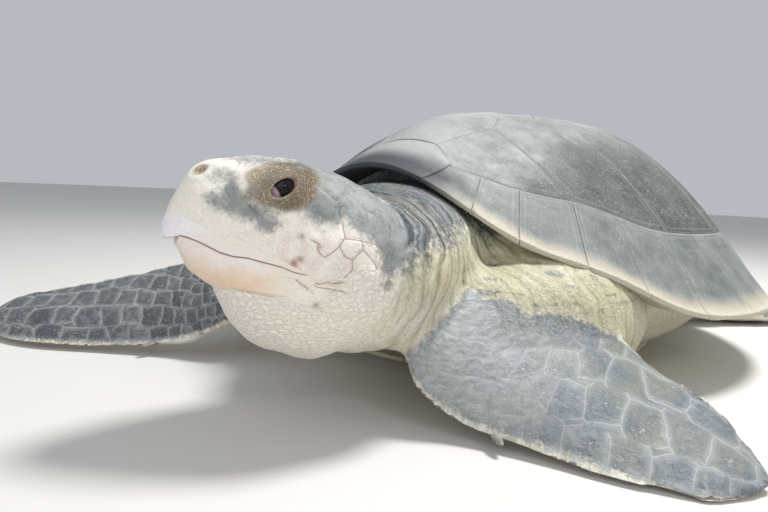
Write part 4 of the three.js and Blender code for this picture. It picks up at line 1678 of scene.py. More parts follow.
@dataclass
class Beak:
    """The horn of one jaw: a curved plate bent round the front of the head."""

    name: str
    node: str
    rim: Line
    border: Line
    proud: float
    reach: float = 100.0
    back: float = 7.0
    core: float = 30.0
    turn: float = 121.0
    gap: float = 0.12
    wall: float = 1.8

    def build(self) -> Piece:
        """Builds the plate from a grid, one way round the jaw and the other from rim to border.

        Returns:
            The plate.
        """

        def place(u: Array, v: Array) -> Array:
            """Finds where a ray at each height meets the head's true form.

            Args:
                u: From one side of the jaw at 0 to the other at 1.
                v: From the rim at 0 to the border at 1.

            Returns:
                The places, as rows of (x, y, z).
            """
            azimuth = np.radians((2 * u - 1) * self.turn)
            ahead, aside, level = np.cos(azimuth), np.sin(azimuth), np.zeros(len(u))
            way = np.stack([ahead, aside, level], 1)
            along = self.core + 50 * ahead
            for _ in range(8):
                at = np.maximum(along, self.back)
                rim, border = line_at(self.rim, at), line_at(self.border, at)
                up = rim + (border - rim) * v
                radius = HEAD.reach(np.stack([level + self.core, level, up], 1), way, 90.0, 22)
                along = self.core + radius * ahead
            longest = (self.reach - self.core) / np.maximum(ahead, 0.01)
            radius = np.where(ahead > 0, np.minimum(radius, longest), radius)
            fade = ease(self.back - 4, self.back + 14, along)
            edge = 1 - ease(0.0, 0.16, v)
            border_fade = 1 - ease(0.2, 1.0, v)
            raised = self.proud * fade * (0.25 + 0.75 * border_fade) - 0.5 * (1 - fade)
            raised -= 0.5 * edge**2 + 0.7 * ease(0.86, 1.0, v)
            sign = 1 if self.border[-1][1] > self.rim[-1][1] else -1
            up += sign * self.gap * (1 - v)
            radius += raised
            return HEAD.to_body(np.stack([self.core + radius * ahead, radius * aside, up], 1))

        horn = sheet(self.name, 150, 22, place)
        outwards = read_places(horn.data) - HEAD.to_body(np.array([[self.core, 0.0, 0.0]]))
        if np.sum(read_normals(horn.data) * outwards) < 0:
            horn.data.flip_normals()
        head = HEAD.to_head(read_places(horn.data))
        at = np.maximum(head[:, 0], self.back)
        rim, border = line_at(self.rim, at), line_at(self.border, at)
        set_values(horn.data, "head_pos", head)
        set_values(horn.data, "from_rim", np.clip((head[:, 2] - rim) / (border - rim), 0, 1))
        thicken(horn, self.wall)
        return enrol(horn, "horn", self.node)


@dataclass
class Claw:
    """The one short claw on the leading edge of each fore flipper."""

    at: float = 0.4
    length: float = 17.0
    rooted: float = 8.0
    radius: float = 4.0
    hook: float = 0.5

    def build(self, side: Side) -> Piece:
        """Builds one claw, curved towards the tip of the flipper.

        Args:
            side: Which side it is on.

        Returns:
            The claw.
        """
        blade = BLADES[side]
        lead, across, _, _, _ = blade.section(np.array([self.at]))
        forward = blade.lead.tangent(np.array([self.at]))[0]
        level = across[0] * np.array([1, 1, 0])
        outward = unit((-unit(level[None])[0] + forward * self.hook)[None])[0]
        root = lead[0] * np.array([1, 1, 0]) + np.array([0, 0, max(lead[0][2], self.radius + 1)])
        aside = unit(np.cross(outward, [0.0, 0.0, 1.0])[None])[0]
        over = np.cross(aside, outward)

        def place(angle: Array, t: Array) -> Array:
            """Draws the sphere out into a bent cone."""
            along = -self.rooted + self.length * t
            thick = self.radius * np.sqrt(np.maximum(0, t)) * (1 - t) ** 0.62 * 1.9
            bend = forward * (0.22 * self.length * t**2)[:, None]
            ring = aside * (thick * np.cos(angle))[:, None] + over * (thick * 0.7 * np.sin(angle))[:, None]
            return root + outward * along[:, None] + bend + ring

        claw = ball(f"nail_{side.word}", 20, 24, place)
        return enrol(claw, "claw", f"claw_{side.word}")


# ------------------------------------------------------------------ carapace and plastron


Outline = Callable[[Array], Array]
SEAMS = [(0.1, -0.81), (0.135, -0.45), (0.125, -0.13), (0.11, 0.17), (0.095, 0.46)]
CORNERS = [(0.172, -0.57), (0.2, -0.29), (0.195, 0.03), (0.17, 0.34)]
COSTAL_ENDS = [12, 36, 60, 84, 120, 168]
MARGINAL_SEAMS = [8.5, 17.5, 25, 36, 46.5, 59, 74, 91, 109, 127, 145, 162.5, 180]


def eased_steps(u: Array, edge: float) -> Array:
    """Draws evenly spaced places from 0 to 1 closer to both ends."""
    return u + edge * (0.5 - 0.5 * np.cos(math.pi * u) - u)


def on_border(degrees: Array) -> Array:
    """Returns places on the marginals' inner border, as shares of the shell's half sizes."""
    a, share = np.radians(degrees), SHELL.border_share(degrees)
    return np.stack([np.sin(a) * share, -np.cos(a) * share], 1)


def along_line(points: Line, v: Array) -> Array:
    """Walks along straight runs between points, with the points at even steps.

    Args:
        points: The line's points.
        v: From the first point at 0 to the last at 1.

    Returns:
        The places, as rows.
    """
    p = np.array(points, float)
    at = np.clip(v, 0, 1) * (len(p) - 1)
    low = np.minimum(at.astype(int), len(p) - 2)
    return p[low] + (p[low + 1] - p[low]) * (at - low)[:, None]


@dataclass
class Carapace:
    """The scutes of the upper shell, each a plate of its own over a pale bed."""

    wall: float = 3.2
    sunk: float = 0.7
    sunk_width: float = 1.4
    seam: float = 0.2
    bed_depth: float = 1.5

    def plate(self, name: str, node: str, slot: str, left: Outline, right: Outline) -> Piece:
        """Builds one scute between two side lines, each given from front to back.

        Args:
            name: The piece's name.
            node: The CAD node that it stands for.
            slot: The slot of its finish.
            left: The left side line.
            right: The right side line.

        Returns:
            The scute.
        """

        def place(u: Array, v: Array) -> Array:
            """Lays the plate on the dome.

            Args:
                u: From the left side line at 0 to the right at 1.
                v: From the front at 0 to the back at 1.

            Returns:
                The places, as rows of (x, y, z).
            """
            across, down = eased_steps(u, 0.75), eased_steps(v, 0.75)
            a, b = left(down), right(down)
            rows = (a + (b - a) * across[:, None]) * np.array([SHELL.half_width, SHELL.half_length])
            return np.column_stack([rows, SHELL.over(rows[:, 0], rows[:, 1])])

        scute = sheet(name, 44, 44, place)
        face_up(scute)
        self.finish(scute, node, slot)
        return scute

    def edge_distance(self, scute: Piece) -> Array:
        """Measures how far each vertex is from the plate's open edge.

        Args:
            scute: The plate.

        Returns:
            The distances, in millimetres.
        """
        bm = bmesh.new()
        bm.from_mesh(scute.data)
        border = [v.index for v in bm.verts if v.is_boundary]
        bm.free()
        rows = read_places(scute.data)
        edge = rows[border]
        return np.linalg.norm(rows - edge[nearest_of(edge, rows)], axis=1)

    def finish(self, scute: Piece, node: str, slot: str) -> None:
        """Narrows the plate for its seam, rounds its edge and gives it a wall.

        Args:
            scute: The plate.
            node: The CAD node that it stands for.
            slot: The slot of its finish.
        """
        rows = read_places(scute.data)
        away = self.edge_distance(scute)
        middle = rows.mean(0)
        inward = unit((middle - rows) * np.array([1, 1, 0]))
        near = np.exp(-away / 2.5)
        rows += inward * (self.seam * near)[:, None]
        normals = read_normals(scute.data)
        rows -= normals * (self.sunk * np.exp(-away / self.sunk_width))[:, None]
        rows += normals * (0.35 * noise_at(rows, 46, 3) + 0.12 * noise_at(rows, 17, 5))[:, None]
        rows += normals * (0.16 * np.cos(away / 1.9) * np.exp(-away / 26))[:, None]
        write_places(scute.data, rows)
        degrees, share = SHELL.polar(rows[:, 0], rows[:, 1])
        below = ease(0, 6, SHELL.dome(degrees, np.minimum(share, 1)) - rows[:, 2])
        set_values(scute.data, "edge_mm", away)
        set_values(scute.data, "rim_share", share + below * 0.2)
        thicken(scute, self.wall)
        enrol(scute, slot, node)

    def marginal(self, name: str, node: str, left: Outline, right: Outline) -> Piece:
        """Builds one plate that goes over the rim, between two lines given as (angle, share).

        Args:
            name: The piece's name.
            node: The CAD node that it stands for.
            left: The left side line.
            right: The right side line.

        Returns:
            The plate.
        """

        def place(u: Array, v: Array) -> Array:
            """Runs out over the dome, round the rim and in underneath.

            Args:
                u: From one side at 0 to the other at 1.
                v: From the inner end at 0 to the outer at 1.

            Returns:
                The places, as rows of (x, y, z).
            """
            across = eased_steps(u, 0.6)
            stops = np.array([0.0, 0.5, 0.62, 0.7, 0.78, 0.86, 1.0])
            fraction = np.array([0.0, 0.93, 1.0, 1.0, 0.985, 0.9, 0.0])
            lower = np.array([0.0, 0.0, -0.4, -2.4, -4.2, -5.0, -5.0])
            a, b = left(v), right(v)
            inner = a + (b - a) * across[:, None]
            degrees, border = inner[:, 0], inner[:, 1]
            outwards = np.interp(v, stops, fraction)
            top = border + (1 - border) * outwards
            under = SHELL.underside + (1 - SHELL.underside) * outwards
            share = np.where(v > 0.7, under, top)
            x, y = SHELL.plan(degrees, share)
            z = np.where(v < 0.5, SHELL.dome(degrees, np.minimum(share, 1)), 0)
            tip = SHELL.dome(degrees, border + (1 - border) * 0.93)
            rounded = np.interp(v, [0.5, 0.62], [0.0, 1.0])
            rim = SHELL.rim(degrees)
            z = np.where(v >= 0.5, tip + (rim + 1.2 - tip) * rounded, z)
            z = np.where(v > 0.62, rim + 1.2 + np.interp(v, stops, lower), z)
            return np.stack([x, y, z], 1)

        plate = sheet(name, 22, 56, place)
        top = np.argmax(read_places(plate.data)[:, 2])
        if read_normals(plate.data)[top, 2] < 0:
            plate.data.flip_normals()
        self.finish(plate, node, "rim")
        return plate

    def build_vertebrals(self) -> list[Piece]:
        """Builds the row of five plates along the back.

        Returns:
            The plates.
        """
        made = []
        for i in range(5):
            if i < 4:
                line = [SEAMS[i], CORNERS[i], SEAMS[i + 1]]

                def left(v: Array, points: list = line) -> Array:
                    """The left side line."""
                    return along_line(points, v)
            else:

                def left(v: Array, points: list = SEAMS) -> Array:
                    """The left side line of the last plate, which ends on the border."""
                    end = on_border(np.full(len(v), float(COSTAL_ENDS[5])))
                    return np.array(points[4]) + (end - np.array(points[4])) * v[:, None]

            def right(v: Array, mirrored: Outline = left) -> Array:
                """The right side line."""
                return mirrored(v) * np.array([-1, 1])

            made.append(self.plate(f"vertebral_plate_{i + 1}", f"vertebral_{i + 1}", "scute", left, right))
        return made

    def build_costals(self, side: Side) -> list[Piece]:
        """Builds the five plates of one side.

        Args:
            side: Which side it is on.

        Returns:
            The plates.
        """
        made = []
        for i in range(5):
            line = [CORNERS[i - 1]] if i else []
            line += [SEAMS[i]] + ([CORNERS[i]] if i < 4 else [])

            def medial(v: Array, points: list = line) -> Array:
                """The line shared with the middle row."""
                return along_line(points, v) * np.array([side.value, 1])

            def lateral(v: Array, first: float = COSTAL_ENDS[i], last: float = COSTAL_ENDS[i + 1]) -> Array:
                """The line shared with the marginals."""
                return on_border(first + (last - first) * v) * np.array([side.value, 1])

            name = f"{side.word}_{i + 1}"
            made.append(self.plate(f"costal_plate_{name}", f"costal_{name}", "scute", medial, lateral))
        return made

    def build_marginals(self, side: Side) -> list[Piece]:
        """Builds the twelve plates of one side of the rim.

        Args:
            side: Which side it is on.

        Returns:
            The plates.
        """
        made = []
        for i in range(12):
            inner = (COSTAL_ENDS[0] if i == 0 else MARGINAL_SEAMS[i], MARGINAL_SEAMS[i + 1])
            outer = (MARGINAL_SEAMS[i], MARGINAL_SEAMS[i + 1])

            def line(v: Array, k: int) -> Array:
                """One end of the plate, as angles and border shares."""
                degrees = inner[k] + (outer[k] - inner[k]) * np.minimum(1, v / 0.6)
                border = SHELL.border_share(np.full(len(v), float(inner[k])))
                return np.stack([degrees * side.value, border], 1)

            name = f"{side.word}_{i + 1}"
            made.append(
                self.marginal(
                    f"marginal_plate_{name}", f"marginal_{name}", lambda v: line(v, 0), lambda v: line(v, 1)
                )
            )
        return made

    def build_nuchal(self) -> Piece:
        """Builds the plate over the neck, which reaches from the first vertebral to the rim.

        Returns:
            The plate.
        """
        back = math.degrees(math.atan2(SEAMS[0][0], -SEAMS[0][1]))
        share = math.hypot(*SEAMS[0])

        def line(v: Array, sign: int) -> Array:
            """One end of the plate: in at the back, wider at the border, narrower at the rim."""
            degrees = np.interp(v, [0, 0.16, 0.6], [back, COSTAL_ENDS[0], MARGINAL_SEAMS[0]])
            return np.stack([degrees * sign, np.full(len(v), share)], 1)

        return self.marginal("nuchal_plate", "nuchal", lambda v: line(v, 1), lambda v: line(v, -1))

    def build_bed(self) -> Piece:
        """Builds the pale bed that shows in the seams.

        Returns:
            The bed.
        """

        def place(angle: Array, t: Array) -> Array:
            """A thin cap a little under the plates."""
            degrees = np.degrees(angle)
            upper = t < 0.5
            share = np.where(upper, t / 0.5, (1 - t) / 0.5) * 0.965
            x, y = SHELL.plan(degrees, share)
            depth = np.where(upper, self.bed_depth, self.bed_depth + 2.0)
            return np.stack([x, y, SHELL.dome(degrees, share) - depth], 1)

        bed = ball("seam_bed", 180, 120, place)
        return enrol(bed, "rim")

    def build(self) -> tuple[list[Piece], list[Piece], Piece]:
        """Builds the whole upper shell.

        Returns:
            The scutes, the plates of the rim, and the bed.
        """
        scutes = self.build_vertebrals()
        rims = [self.build_nuchal()]
        for side in Side:
            scutes += self.build_costals(side)
            rims += self.build_marginals(side)
        return scutes, rims, self.build_bed()


@dataclass
class Plastron:
    """The lower shell, flat on the floor."""

    groove: float = 1.0
    cross_seams: tuple[float, ...] = (-0.56, -0.33, -0.05, 0.22, 0.44, 0.62)

    def from_seam(self, x: Array, y: Array) -> Array:
        """Measures how far places are from the nearest seam, the middle one or one across.

        Args:
            x: How far left each place is.
            y: How far back each place is.

        Returns:
            The distances, in millimetres.
        """
        away = np.abs(x)
        for seam in self.cross_seams:
            away = np.minimum(away, np.abs(y - SHELL.half_length * (seam - 0.06 * np.abs(x) / 170)))
        return away

    def build(self) -> Piece:
        """Builds the plate, its seams cut into the face that lies on the floor.

        Returns:
            The plate.
        """

        def place(angle: Array, t: Array) -> Array:
            """Runs from the middle of the upper face round the edge to the middle of the lower.

            Args:
                angle: Round the ring, from the left side over the top.
                t: From one end at 0 to the other at 1.

            Returns:
                The places, as rows of (x, y, z).
            """
            degrees = np.degrees(angle)
            stops = [0, 0.46, 0.49, 0.51, 0.54, 0.58, 1]
            scale = np.interp(t, stops, [0, 0.97, 0.995, 0.995, 0.985, 0.965, 0])
            z = np.interp(t, stops, [8, 8, 6.4, 4.0, 1.2, 0, 0])
            x, y = SHELL.plan(degrees, PLATE.share(degrees) * scale)
            groove = self.groove * np.exp(-((self.from_seam(x, y) / 1.3) ** 2))
            return np.stack([x, y, z + np.where(t > 0.585, groove, 0)], 1)

        plate = ball("plastron_plate", 260, 260, place)
        rows = read_places(plate.data)
        set_values(plate.data, "edge_mm", self.from_seam(rows[:, 0], rows[:, 1]))
        return enrol(plate, "plastron", "plastron")


# ------------------------------------------------------------------ finishes


Value = float | Sequence[float] | Socket
Colour = tuple[float, float, float]


class Graph:
    """A short hand for wiring the nodes of one tree."""

    def __init__(self, tree: Tree) -> None:
        """Keeps the tree."""
        self.tree = tree

    def put(self, socket: Socket, value: Value) -> None:
        """Links a socket to another, or sets its value.

        Args:
            socket: The socket that takes it.
            value: A socket, a number, a vector or a colour.
        """
        if isinstance(value, Socket):
            self.tree.links.new(value, socket)
        elif socket.type == "RGBA" and not isinstance(value, (int, float)):
            socket.default_value = (*value[:3], 1.0)
        else:
            socket.default_value = value

    def node(self, kind: str, settings: dict | None = None, **inputs: Value) -> Node:
        """Adds a node.

        Args:
            kind: Its type.
            settings: Its settings, by name.
            inputs: What its sockets take, named as they are, with _ for a space.

        Returns:
            The node.
        """
        made = self.tree.nodes.new(kind)
        for name, value in (settings or {}).items():
            setattr(made, name, value)
        for name, value in inputs.items():
            self.put(made.inputs[name.replace("_", " ")], value)
        return made

    def worked(self, kind: str, operation: str, values: Sequence[Value]) -> Socket:
        """Adds a node that works out one value from others.

        Args:
            kind: The node's type.
            operation: What it does.
            values: What it does it with, in the order of its sockets.

        Returns:
            The value's socket.
        """
        made = self.node(kind, {"operation": operation})
        for socket, value in zip(made.inputs, values):
            self.put(socket, value)
        return made.outputs[0]

    def math(self, operation: str, *values: Value) -> Socket:
        """Works out one number from others."""
        return self.worked("ShaderNodeMath", operation, values)

    def vector(self, operation: str, *values: Value) -> Socket:
        """Works out one vector from others."""
        return self.worked("ShaderNodeVectorMath", operation, values)

    def scaled(self, vector: Value, by: float) -> Socket:
        """Multiplies a vector by a number."""
        return self.node("ShaderNodeVectorMath", {"operation": "SCALE"}, Vector=vector, Scale=by).outputs[0]

    def times(self, *values: Value) -> Socket:
        """Multiplies numbers, from the first to the last."""
        return reduce(lambda a, b: self.math("MULTIPLY", a, b), values)

    def plus(self, *values: Value) -> Socket:
        """Adds numbers up, from the first to the last."""
        return reduce(lambda a, b: self.math("ADD", a, b), values)

    def minus(self, a: Value, b: Value) -> Socket:
        """Takes b from a."""
        return self.math("SUBTRACT", a, b)

    def rest(self, value: Value) -> Socket:
        """Takes a number from 1."""
        return self.math("SUBTRACT", 1.0, value)

    def ripple(self, value: Value) -> Socket:
        """Returns how far a sine is from 0."""
        return self.math("ABSOLUTE", self.math("SINE", value))

    def parts(self, vector: Value) -> tuple[Socket, ...]:
        """Splits a vector into its three numbers."""
        return tuple(self.node("ShaderNodeSeparateXYZ", Vector=vector).outputs)

    def joined(self, x: Value, y: Value, z: Value) -> Socket:
        """Makes a vector of three numbers."""
        return self.node("ShaderNodeCombineXYZ", X=x, Y=y, Z=z).outputs[0]

    def step(self, value: Value, low: Value, high: Value, start: float = 0.0, end: float = 1.0) -> Socket:
        """Turns a rise from low to high into a smooth rise from start to end.

        Args:
            value: The number that rises.
            low: Where the rise begins.
            high: Where it ends.
            start: The result up to low.
            end: The result from high.

        Returns:
            The result.
        """
        made = self.node("ShaderNodeMapRange", {"interpolation_type": "SMOOTHSTEP"}, Value=value)
        for name, number in (("From Min", low), ("From Max", high), ("To Min", start), ("To Max", end)):
            self.put(made.inputs[name], number)
        return made.outputs[0]

    def noise(self, place: Value, size: float, detail: float = 3.0, rough: float = 0.55) -> Socket:
        """Adds soft noise whose bumps are about size millimetres apart, from 0 to 1."""
        made = self.node("ShaderNodeTexNoise", Vector=place, Scale=1 / size, Detail=detail, Roughness=rough)
        return made.outputs["Fac"]

    def shaken(self, place: Value, scale: float, by: float) -> Socket:
        """Moves places about.

        Args:
            place: The places.
            scale: How many bumps of noise there are to one unit of place.
            by: How far apart the two ends of the movement are.

        Returns:
            The moved places.
        """
        shift = self.node("ShaderNodeTexNoise", Vector=place, Scale=scale).outputs["Color"]
        return self.vector("ADD", place, self.scaled(self.vector("SUBTRACT", shift, (0.5, 0.5, 0.5)), by))

    def mix(self, amount: Value, a: Value, b: Value) -> Socket:
        """Mixes two colours.

        Args:
            amount: How much of b there is.
            a: The first colour.
            b: The second colour.

        Returns:
            The mixed colour.
        """
        made = self.node("ShaderNodeMix", {"data_type": "RGBA"})
        for place, value in ((0, amount), (6, a), (7, b)):
            self.put(made.inputs[place], value)
        return made.outputs[2]

    def stored(self, name: str, kind: str = "Vector") -> Socket:
        """Reads the vector, or with "Fac" the number, that the mesh keeps under a name."""
        return self.node("ShaderNodeAttribute", {"attribute_name": name}).outputs[kind]

    def millimetres(self) -> Socket:
        """Returns the place on the object, in millimetres."""
        return self.scaled(self.node("ShaderNodeTexCoord").outputs["Object"], 1000.0)

    def group(self, tree: Tree, **inputs: Value) -> Node:
        """Places a group in the tree."""
        return self.node("ShaderNodeGroup", {"node_tree": tree}, **inputs)


def open_group(name: str, outputs: Sequence[str], **inputs: float | None) -> tuple[
    Graph, dict[str, Socket], Callable[..., Tree]
]:
    """Makes a named group of nodes.

    Args:
        name: The group's name.
        outputs: The names of the numbers that it puts out.
        inputs: The numbers that it takes, each with its usual value, or None for a place.

    Returns:
        The group's graph, its inputs by name, and a call that wires its outputs.
    """
    tree = bpy.data.node_groups.new(name, "ShaderNodeTree")
    for key, usual in inputs.items():
        kind = "NodeSocketVector" if usual is None else "NodeSocketFloat"
        socket = tree.interface.new_socket(key, in_out="INPUT", socket_type=kind)
        if usual is not None:
            socket.default_value = usual
    for key in outputs:
        tree.interface.new_socket(key, in_out="OUTPUT", socket_type="NodeSocketFloat")
    entry, leave = tree.nodes.new("NodeGroupInput"), tree.nodes.new("NodeGroupOutput")

    def finish(*values: Socket) -> Tree:
        """Wires the outputs, in order, and returns the group."""
        for socket, value in zip(leave.inputs, values):
            tree.links.new(value, socket)
        return tree

    return Graph(tree), {key: entry.outputs[key] for key in inputs}, finish


def scale_group(name: str, dimensions: str) -> Tree:
    """Makes the pattern of scales: a raised cell, a seam round it and a tint of its own.

    Args:
        name: The group's name.
        dimensions: "2D" for a pattern in a rhythm kept on the mesh, "3D" for one in space.

    Returns:
        The group.
    """
    g, given, finish = open_group(name, ("Height", "Seam", "Tint"), Place=None, Loose=0.8, Seam=0.06)
    edge, cell = (
        g.node(
            "ShaderNodeTexVoronoi", {"voronoi_dimensions": dimensions, "feature": feature},
            Vector=given["Place"], Scale=1.0, Randomness=given["Loose"]
        )
        for feature in ("DISTANCE_TO_EDGE", "F1")
    )
    away = edge.outputs["Distance"]
    seam = g.step(away, given["Seam"], g.times(given["Seam"], 0.25))
    return finish(g.step(away, 0.0, 0.3), seam, g.parts(cell.outputs["Color"])[0])


def scratch_group() -> Tree:
    """Makes fine straight scratches in three directions, broken up by patches.

    Returns:
        The group.
    """
    g, given, finish = open_group("scratches", ("Scratches",), Place=None, Size=1.0)
    spaced = g.vector("DIVIDE", given["Place"], g.joined(given["Size"], given["Size"], given["Size"]))
    total = None
    for turn, seed in ((0.35, 3.0), (1.15, 17.0), (2.35, 31.0)):
        swept = g.node(
            "ShaderNodeMapping", Vector=spaced, Rotation=(turn * 0.5, turn * 0.3, turn),
            Location=(seed, seed, seed), Scale=(0.02, 0.75, 0.75)
        ).outputs[0]
        streak = g.step(
            g.node("ShaderNodeTexNoise", Vector=swept, Scale=1.0, Detail=1.0).outputs["Fac"], 0.66, 0.73
        )
        patch = g.step(
            g.node("ShaderNodeTexNoise", Vector=spaced, Scale=0.03 + seed / 900, Detail=2.0).outputs["Fac"],
            0.48, 0.62
        )
        streak = g.times(streak, patch)
        total = streak if total is None else g.math("MAXIMUM", total, streak)
    return finish(total)


class Effects:
    """The groups that the finishes share."""

    def __init__(self) -> None:
        """Makes each group."""
        self.flat_scales = scale_group("scales in rows", "2D")
        self.scales = scale_group("scales", "3D")
        self.scratches = scratch_group()


@dataclass(frozen=True)
class Finish:
    """What every finish has: a name, roughness and how deep its bump is."""

    name: str
    effects: Effects
    roughness: float = 0.55
    specular: float = 0.4

    def start(self) -> tuple[Material, Graph, Node]:
        """Makes the material.

        Returns:
            The material, its graph and its shader.
        """
        material = bpy.data.materials.new(self.name)
        material.use_nodes = True
        shader = material.node_tree.nodes["Principled BSDF"]
        shader.inputs["Roughness"].default_value = self.roughness
        shader.inputs["Specular IOR Level"].default_value = self.specular
        return material, Graph(material.node_tree), shader

    def cover(self, g: Graph, shader: Node, colour: Socket, rough: Socket, height: Socket) -> None:
        """Puts what was worked out on the shader.

        Args:
            g: The material's graph.
            shader: Its shader.
            colour: The colour of the surface.
            rough: Its roughness.
            height: Its relief, in millimetres.
        """
        g.put(shader.inputs["Base Color"], colour)
        g.put(shader.inputs["Roughness"], rough)
        made = g.node("ShaderNodeBump", Height=height, Strength=1.0, Distance=MM)
        g.put(shader.inputs["Normal"], made.outputs[0])


class Region(Enum):
    """The two parts of the skin, each with its own material."""

    HEAD = "head"
    BODY = "body"


@dataclass(frozen=True)
class SkinFinish(Finish):
    """Skin: cream flesh, grey-blue scaled backs with pale seams, and the marks of the face."""

    region: Region = Region.BODY
    cream: Colour = (0.71, 0.65, 0.51)
    white: Colour = (0.77, 0.74, 0.66)
    face: Colour = (0.86, 0.805, 0.71)
    haze: Colour = (0.46, 0.48, 0.49)
    dark: Colour = (0.085, 0.105, 0.13)
    night: Colour = (0.035, 0.042, 0.055)
    olive: Colour = (0.16, 0.175, 0.15)
    light: Colour = (0.28, 0.295, 0.305)
    yellow: Colour = (0.43, 0.41, 0.25)
    pink: Colour = (0.62, 0.36, 0.32)
    brown: Colour = (0.14, 0.095, 0.06)
    tan: Colour = (0.43, 0.34, 0.23)
    seam: Colour = (0.44, 0.45, 0.43)

    def head_seams(self, g: Graph, near: Socket) -> Socket:
        """Draws the thin seams between the plates of the head.

        Args:
            g: The material's graph.
            near: The distance from any seam.

        Returns:
            Their mask.
        """
        nearest = None
        for signed in g.parts(g.stored("seam_pos")):
            distance = g.math("ABSOLUTE", signed)
            nearest = distance if nearest is None else g.math("MINIMUM", nearest, distance)
        return g.times(g.step(nearest, 0.6, 0.1), g.step(near, 2.4, 1.5))

    def lid_rings(self, g: Graph, place: Socket) -> tuple[Socket, Socket]:
        """Draws the wrinkles round the eye.

        Args:
            g: The material's graph.
            place: Places on the head.

        Returns:
            The wrinkles, and the mask of where they are.
        """
        lids = Eyelids()
        along, _, up = g.parts(place)
        da, du = g.minus(along, lids.centre[0]), g.minus(up, lids.centre[1])
        c, s = math.cos(math.radians(lids.slant)), math.sin(math.radians(lids.slant))
        x = g.plus(g.times(da, c), g.times(du, s))
        y = g.minus(g.times(du, c), g.times(da, s))
        x, y = g.math("DIVIDE", x, lids.half_length), g.math("DIVIDE", y, lids.half_height)
        e = g.math("SQRT", g.plus(g.times(x, x), g.times(y, y)))
        wander = g.times(g.noise(place, 7, 5, 0.68), 1.5)
        rings = g.ripple(g.times(g.plus(e, wander), 12))
        broken = g.times(rings, g.step(g.noise(place, 2.2, 4, 0.7), 0.35, 0.62, 0.2, 1.0))
        mask = g.times(g.step(e, 1.02, 1.2), g.step(e, 3.2, 2.2))
        return broken, mask

    def build(self) -> Material:
        """Builds the material.

        Returns:
            The material.
        """
        material, g, shader = self.start()
        place = g.millimetres()
        dark, yellow, pink = g.parts(g.stored("tone_a"))
        brown, on_head, on_blade = g.parts(g.stored("tone_b"))
        rhythm, folded, near = g.parts(g.stored("fold_pos"))
        broad, mid, fine = g.noise(place, 38, 3), g.noise(place, 7, 5, 0.66), g.noise(place, 1.5, 2)
        patchy = g.plus(g.times(mid, 0.6), g.times(g.noise(place, 2.6, 3, 0.6), 0.4))
        uneven = g.times(g.minus(patchy, 0.5), 1.7 if self.region is Region.HEAD else 2.3)
        back = g.step(g.plus(dark, uneven), 0.2, 0.85)
        warped = g.shaken(place, 0.12, 3.0)
        small = g.group(self.effects.scales, Place=g.scaled(warped, 1 / 4.6), Loose=0.9, Seam=0.10)
        creases = g.step(g.ripple(g.times(rhythm, math.pi)), 0.55, 0.0)
        half = g.plus(g.times(rhythm, 2.37 * math.pi), g.times(mid, 4.0))
        wrinkles = g.times(g.step(g.ripple(half), 0.5, 0.0), folded)
        creases = g.times(creases, folded)

        flesh = g.mix(g.step(broad, 0.35, 0.65), self.cream, self.white)
        flesh = g.mix(g.times(yellow, g.step(mid, 0.2, 0.6, 0.55, 1.0)), flesh, self.yellow)
        shade = g.mix(g.step(broad, 0.36, 0.62), self.dark, self.olive)
        height = g.times(mid, 0.35)
        if self.region is Region.HEAD:
            flesh = g.mix(on_head, flesh, self.face)
            own = g.rest(on_head)
            back = g.times(back, g.rest(g.times(on_head, 0.06)))
            shade = g.mix(g.times(on_head, g.step(patchy, 0.40, 0.58, 0.0, 0.72)), shade, self.light)
        else:
            own = g.rest(on_blade)
        tint = g.times(small.outputs["Tint"], 0.5)
        own = g.times(own, g.rest(g.times(folded, 0.75)))
        small_seam = g.times(small.outputs["Seam"], own)
        height = g.plus(height, g.times(small.outputs["Height"], own, 0.32))
        pale_seam, light_seam = small_seam, small_seam
        if self.region is Region.BODY:
            cells = g.stored("cell_pos")
            layer = g.parts(cells)[2]
            moved = g.shaken(cells, 1.2, 0.34)
            aside = g.times(g.math("FLOOR", g.plus(g.parts(moved)[1], 0.31)), 0.5)
            rows = g.vector("ADD", moved, g.joined(g.plus(layer, aside), layer, 0.0))
            big = g.group(self.effects.flat_scales, Place=rows, Loose=0.38, Seam=0.02)
            tint = g.plus(g.times(big.outputs["Tint"], on_blade, 0.6), g.times(tint, own))
            # The far (right) fore flipper is darkened towards this colour: painted shade.
            shade = g.mix(g.step(layer, -15, -25, 0.0, 0.72), shade, self.night)
            shown = g.times(on_blade, g.rest(g.times(brown, 0.6)))
            shown = g.times(shown, g.step(patchy, 0.38, 0.56, 0.6, 1.0))
            light_seam = g.math("MAXIMUM", g.times(small_seam, 0.45), g.times(big.outputs["Seam"], shown))
            height = g.plus(height, g.times(big.outputs["Height"], shown, 1.0))
        paler = g.times(tint, g.step(mid, 0.3, 0.65))
        shade = g.mix(paler, shade, self.light)
        colour = g.mix(back, flesh, shade)
        if self.region is Region.BODY:
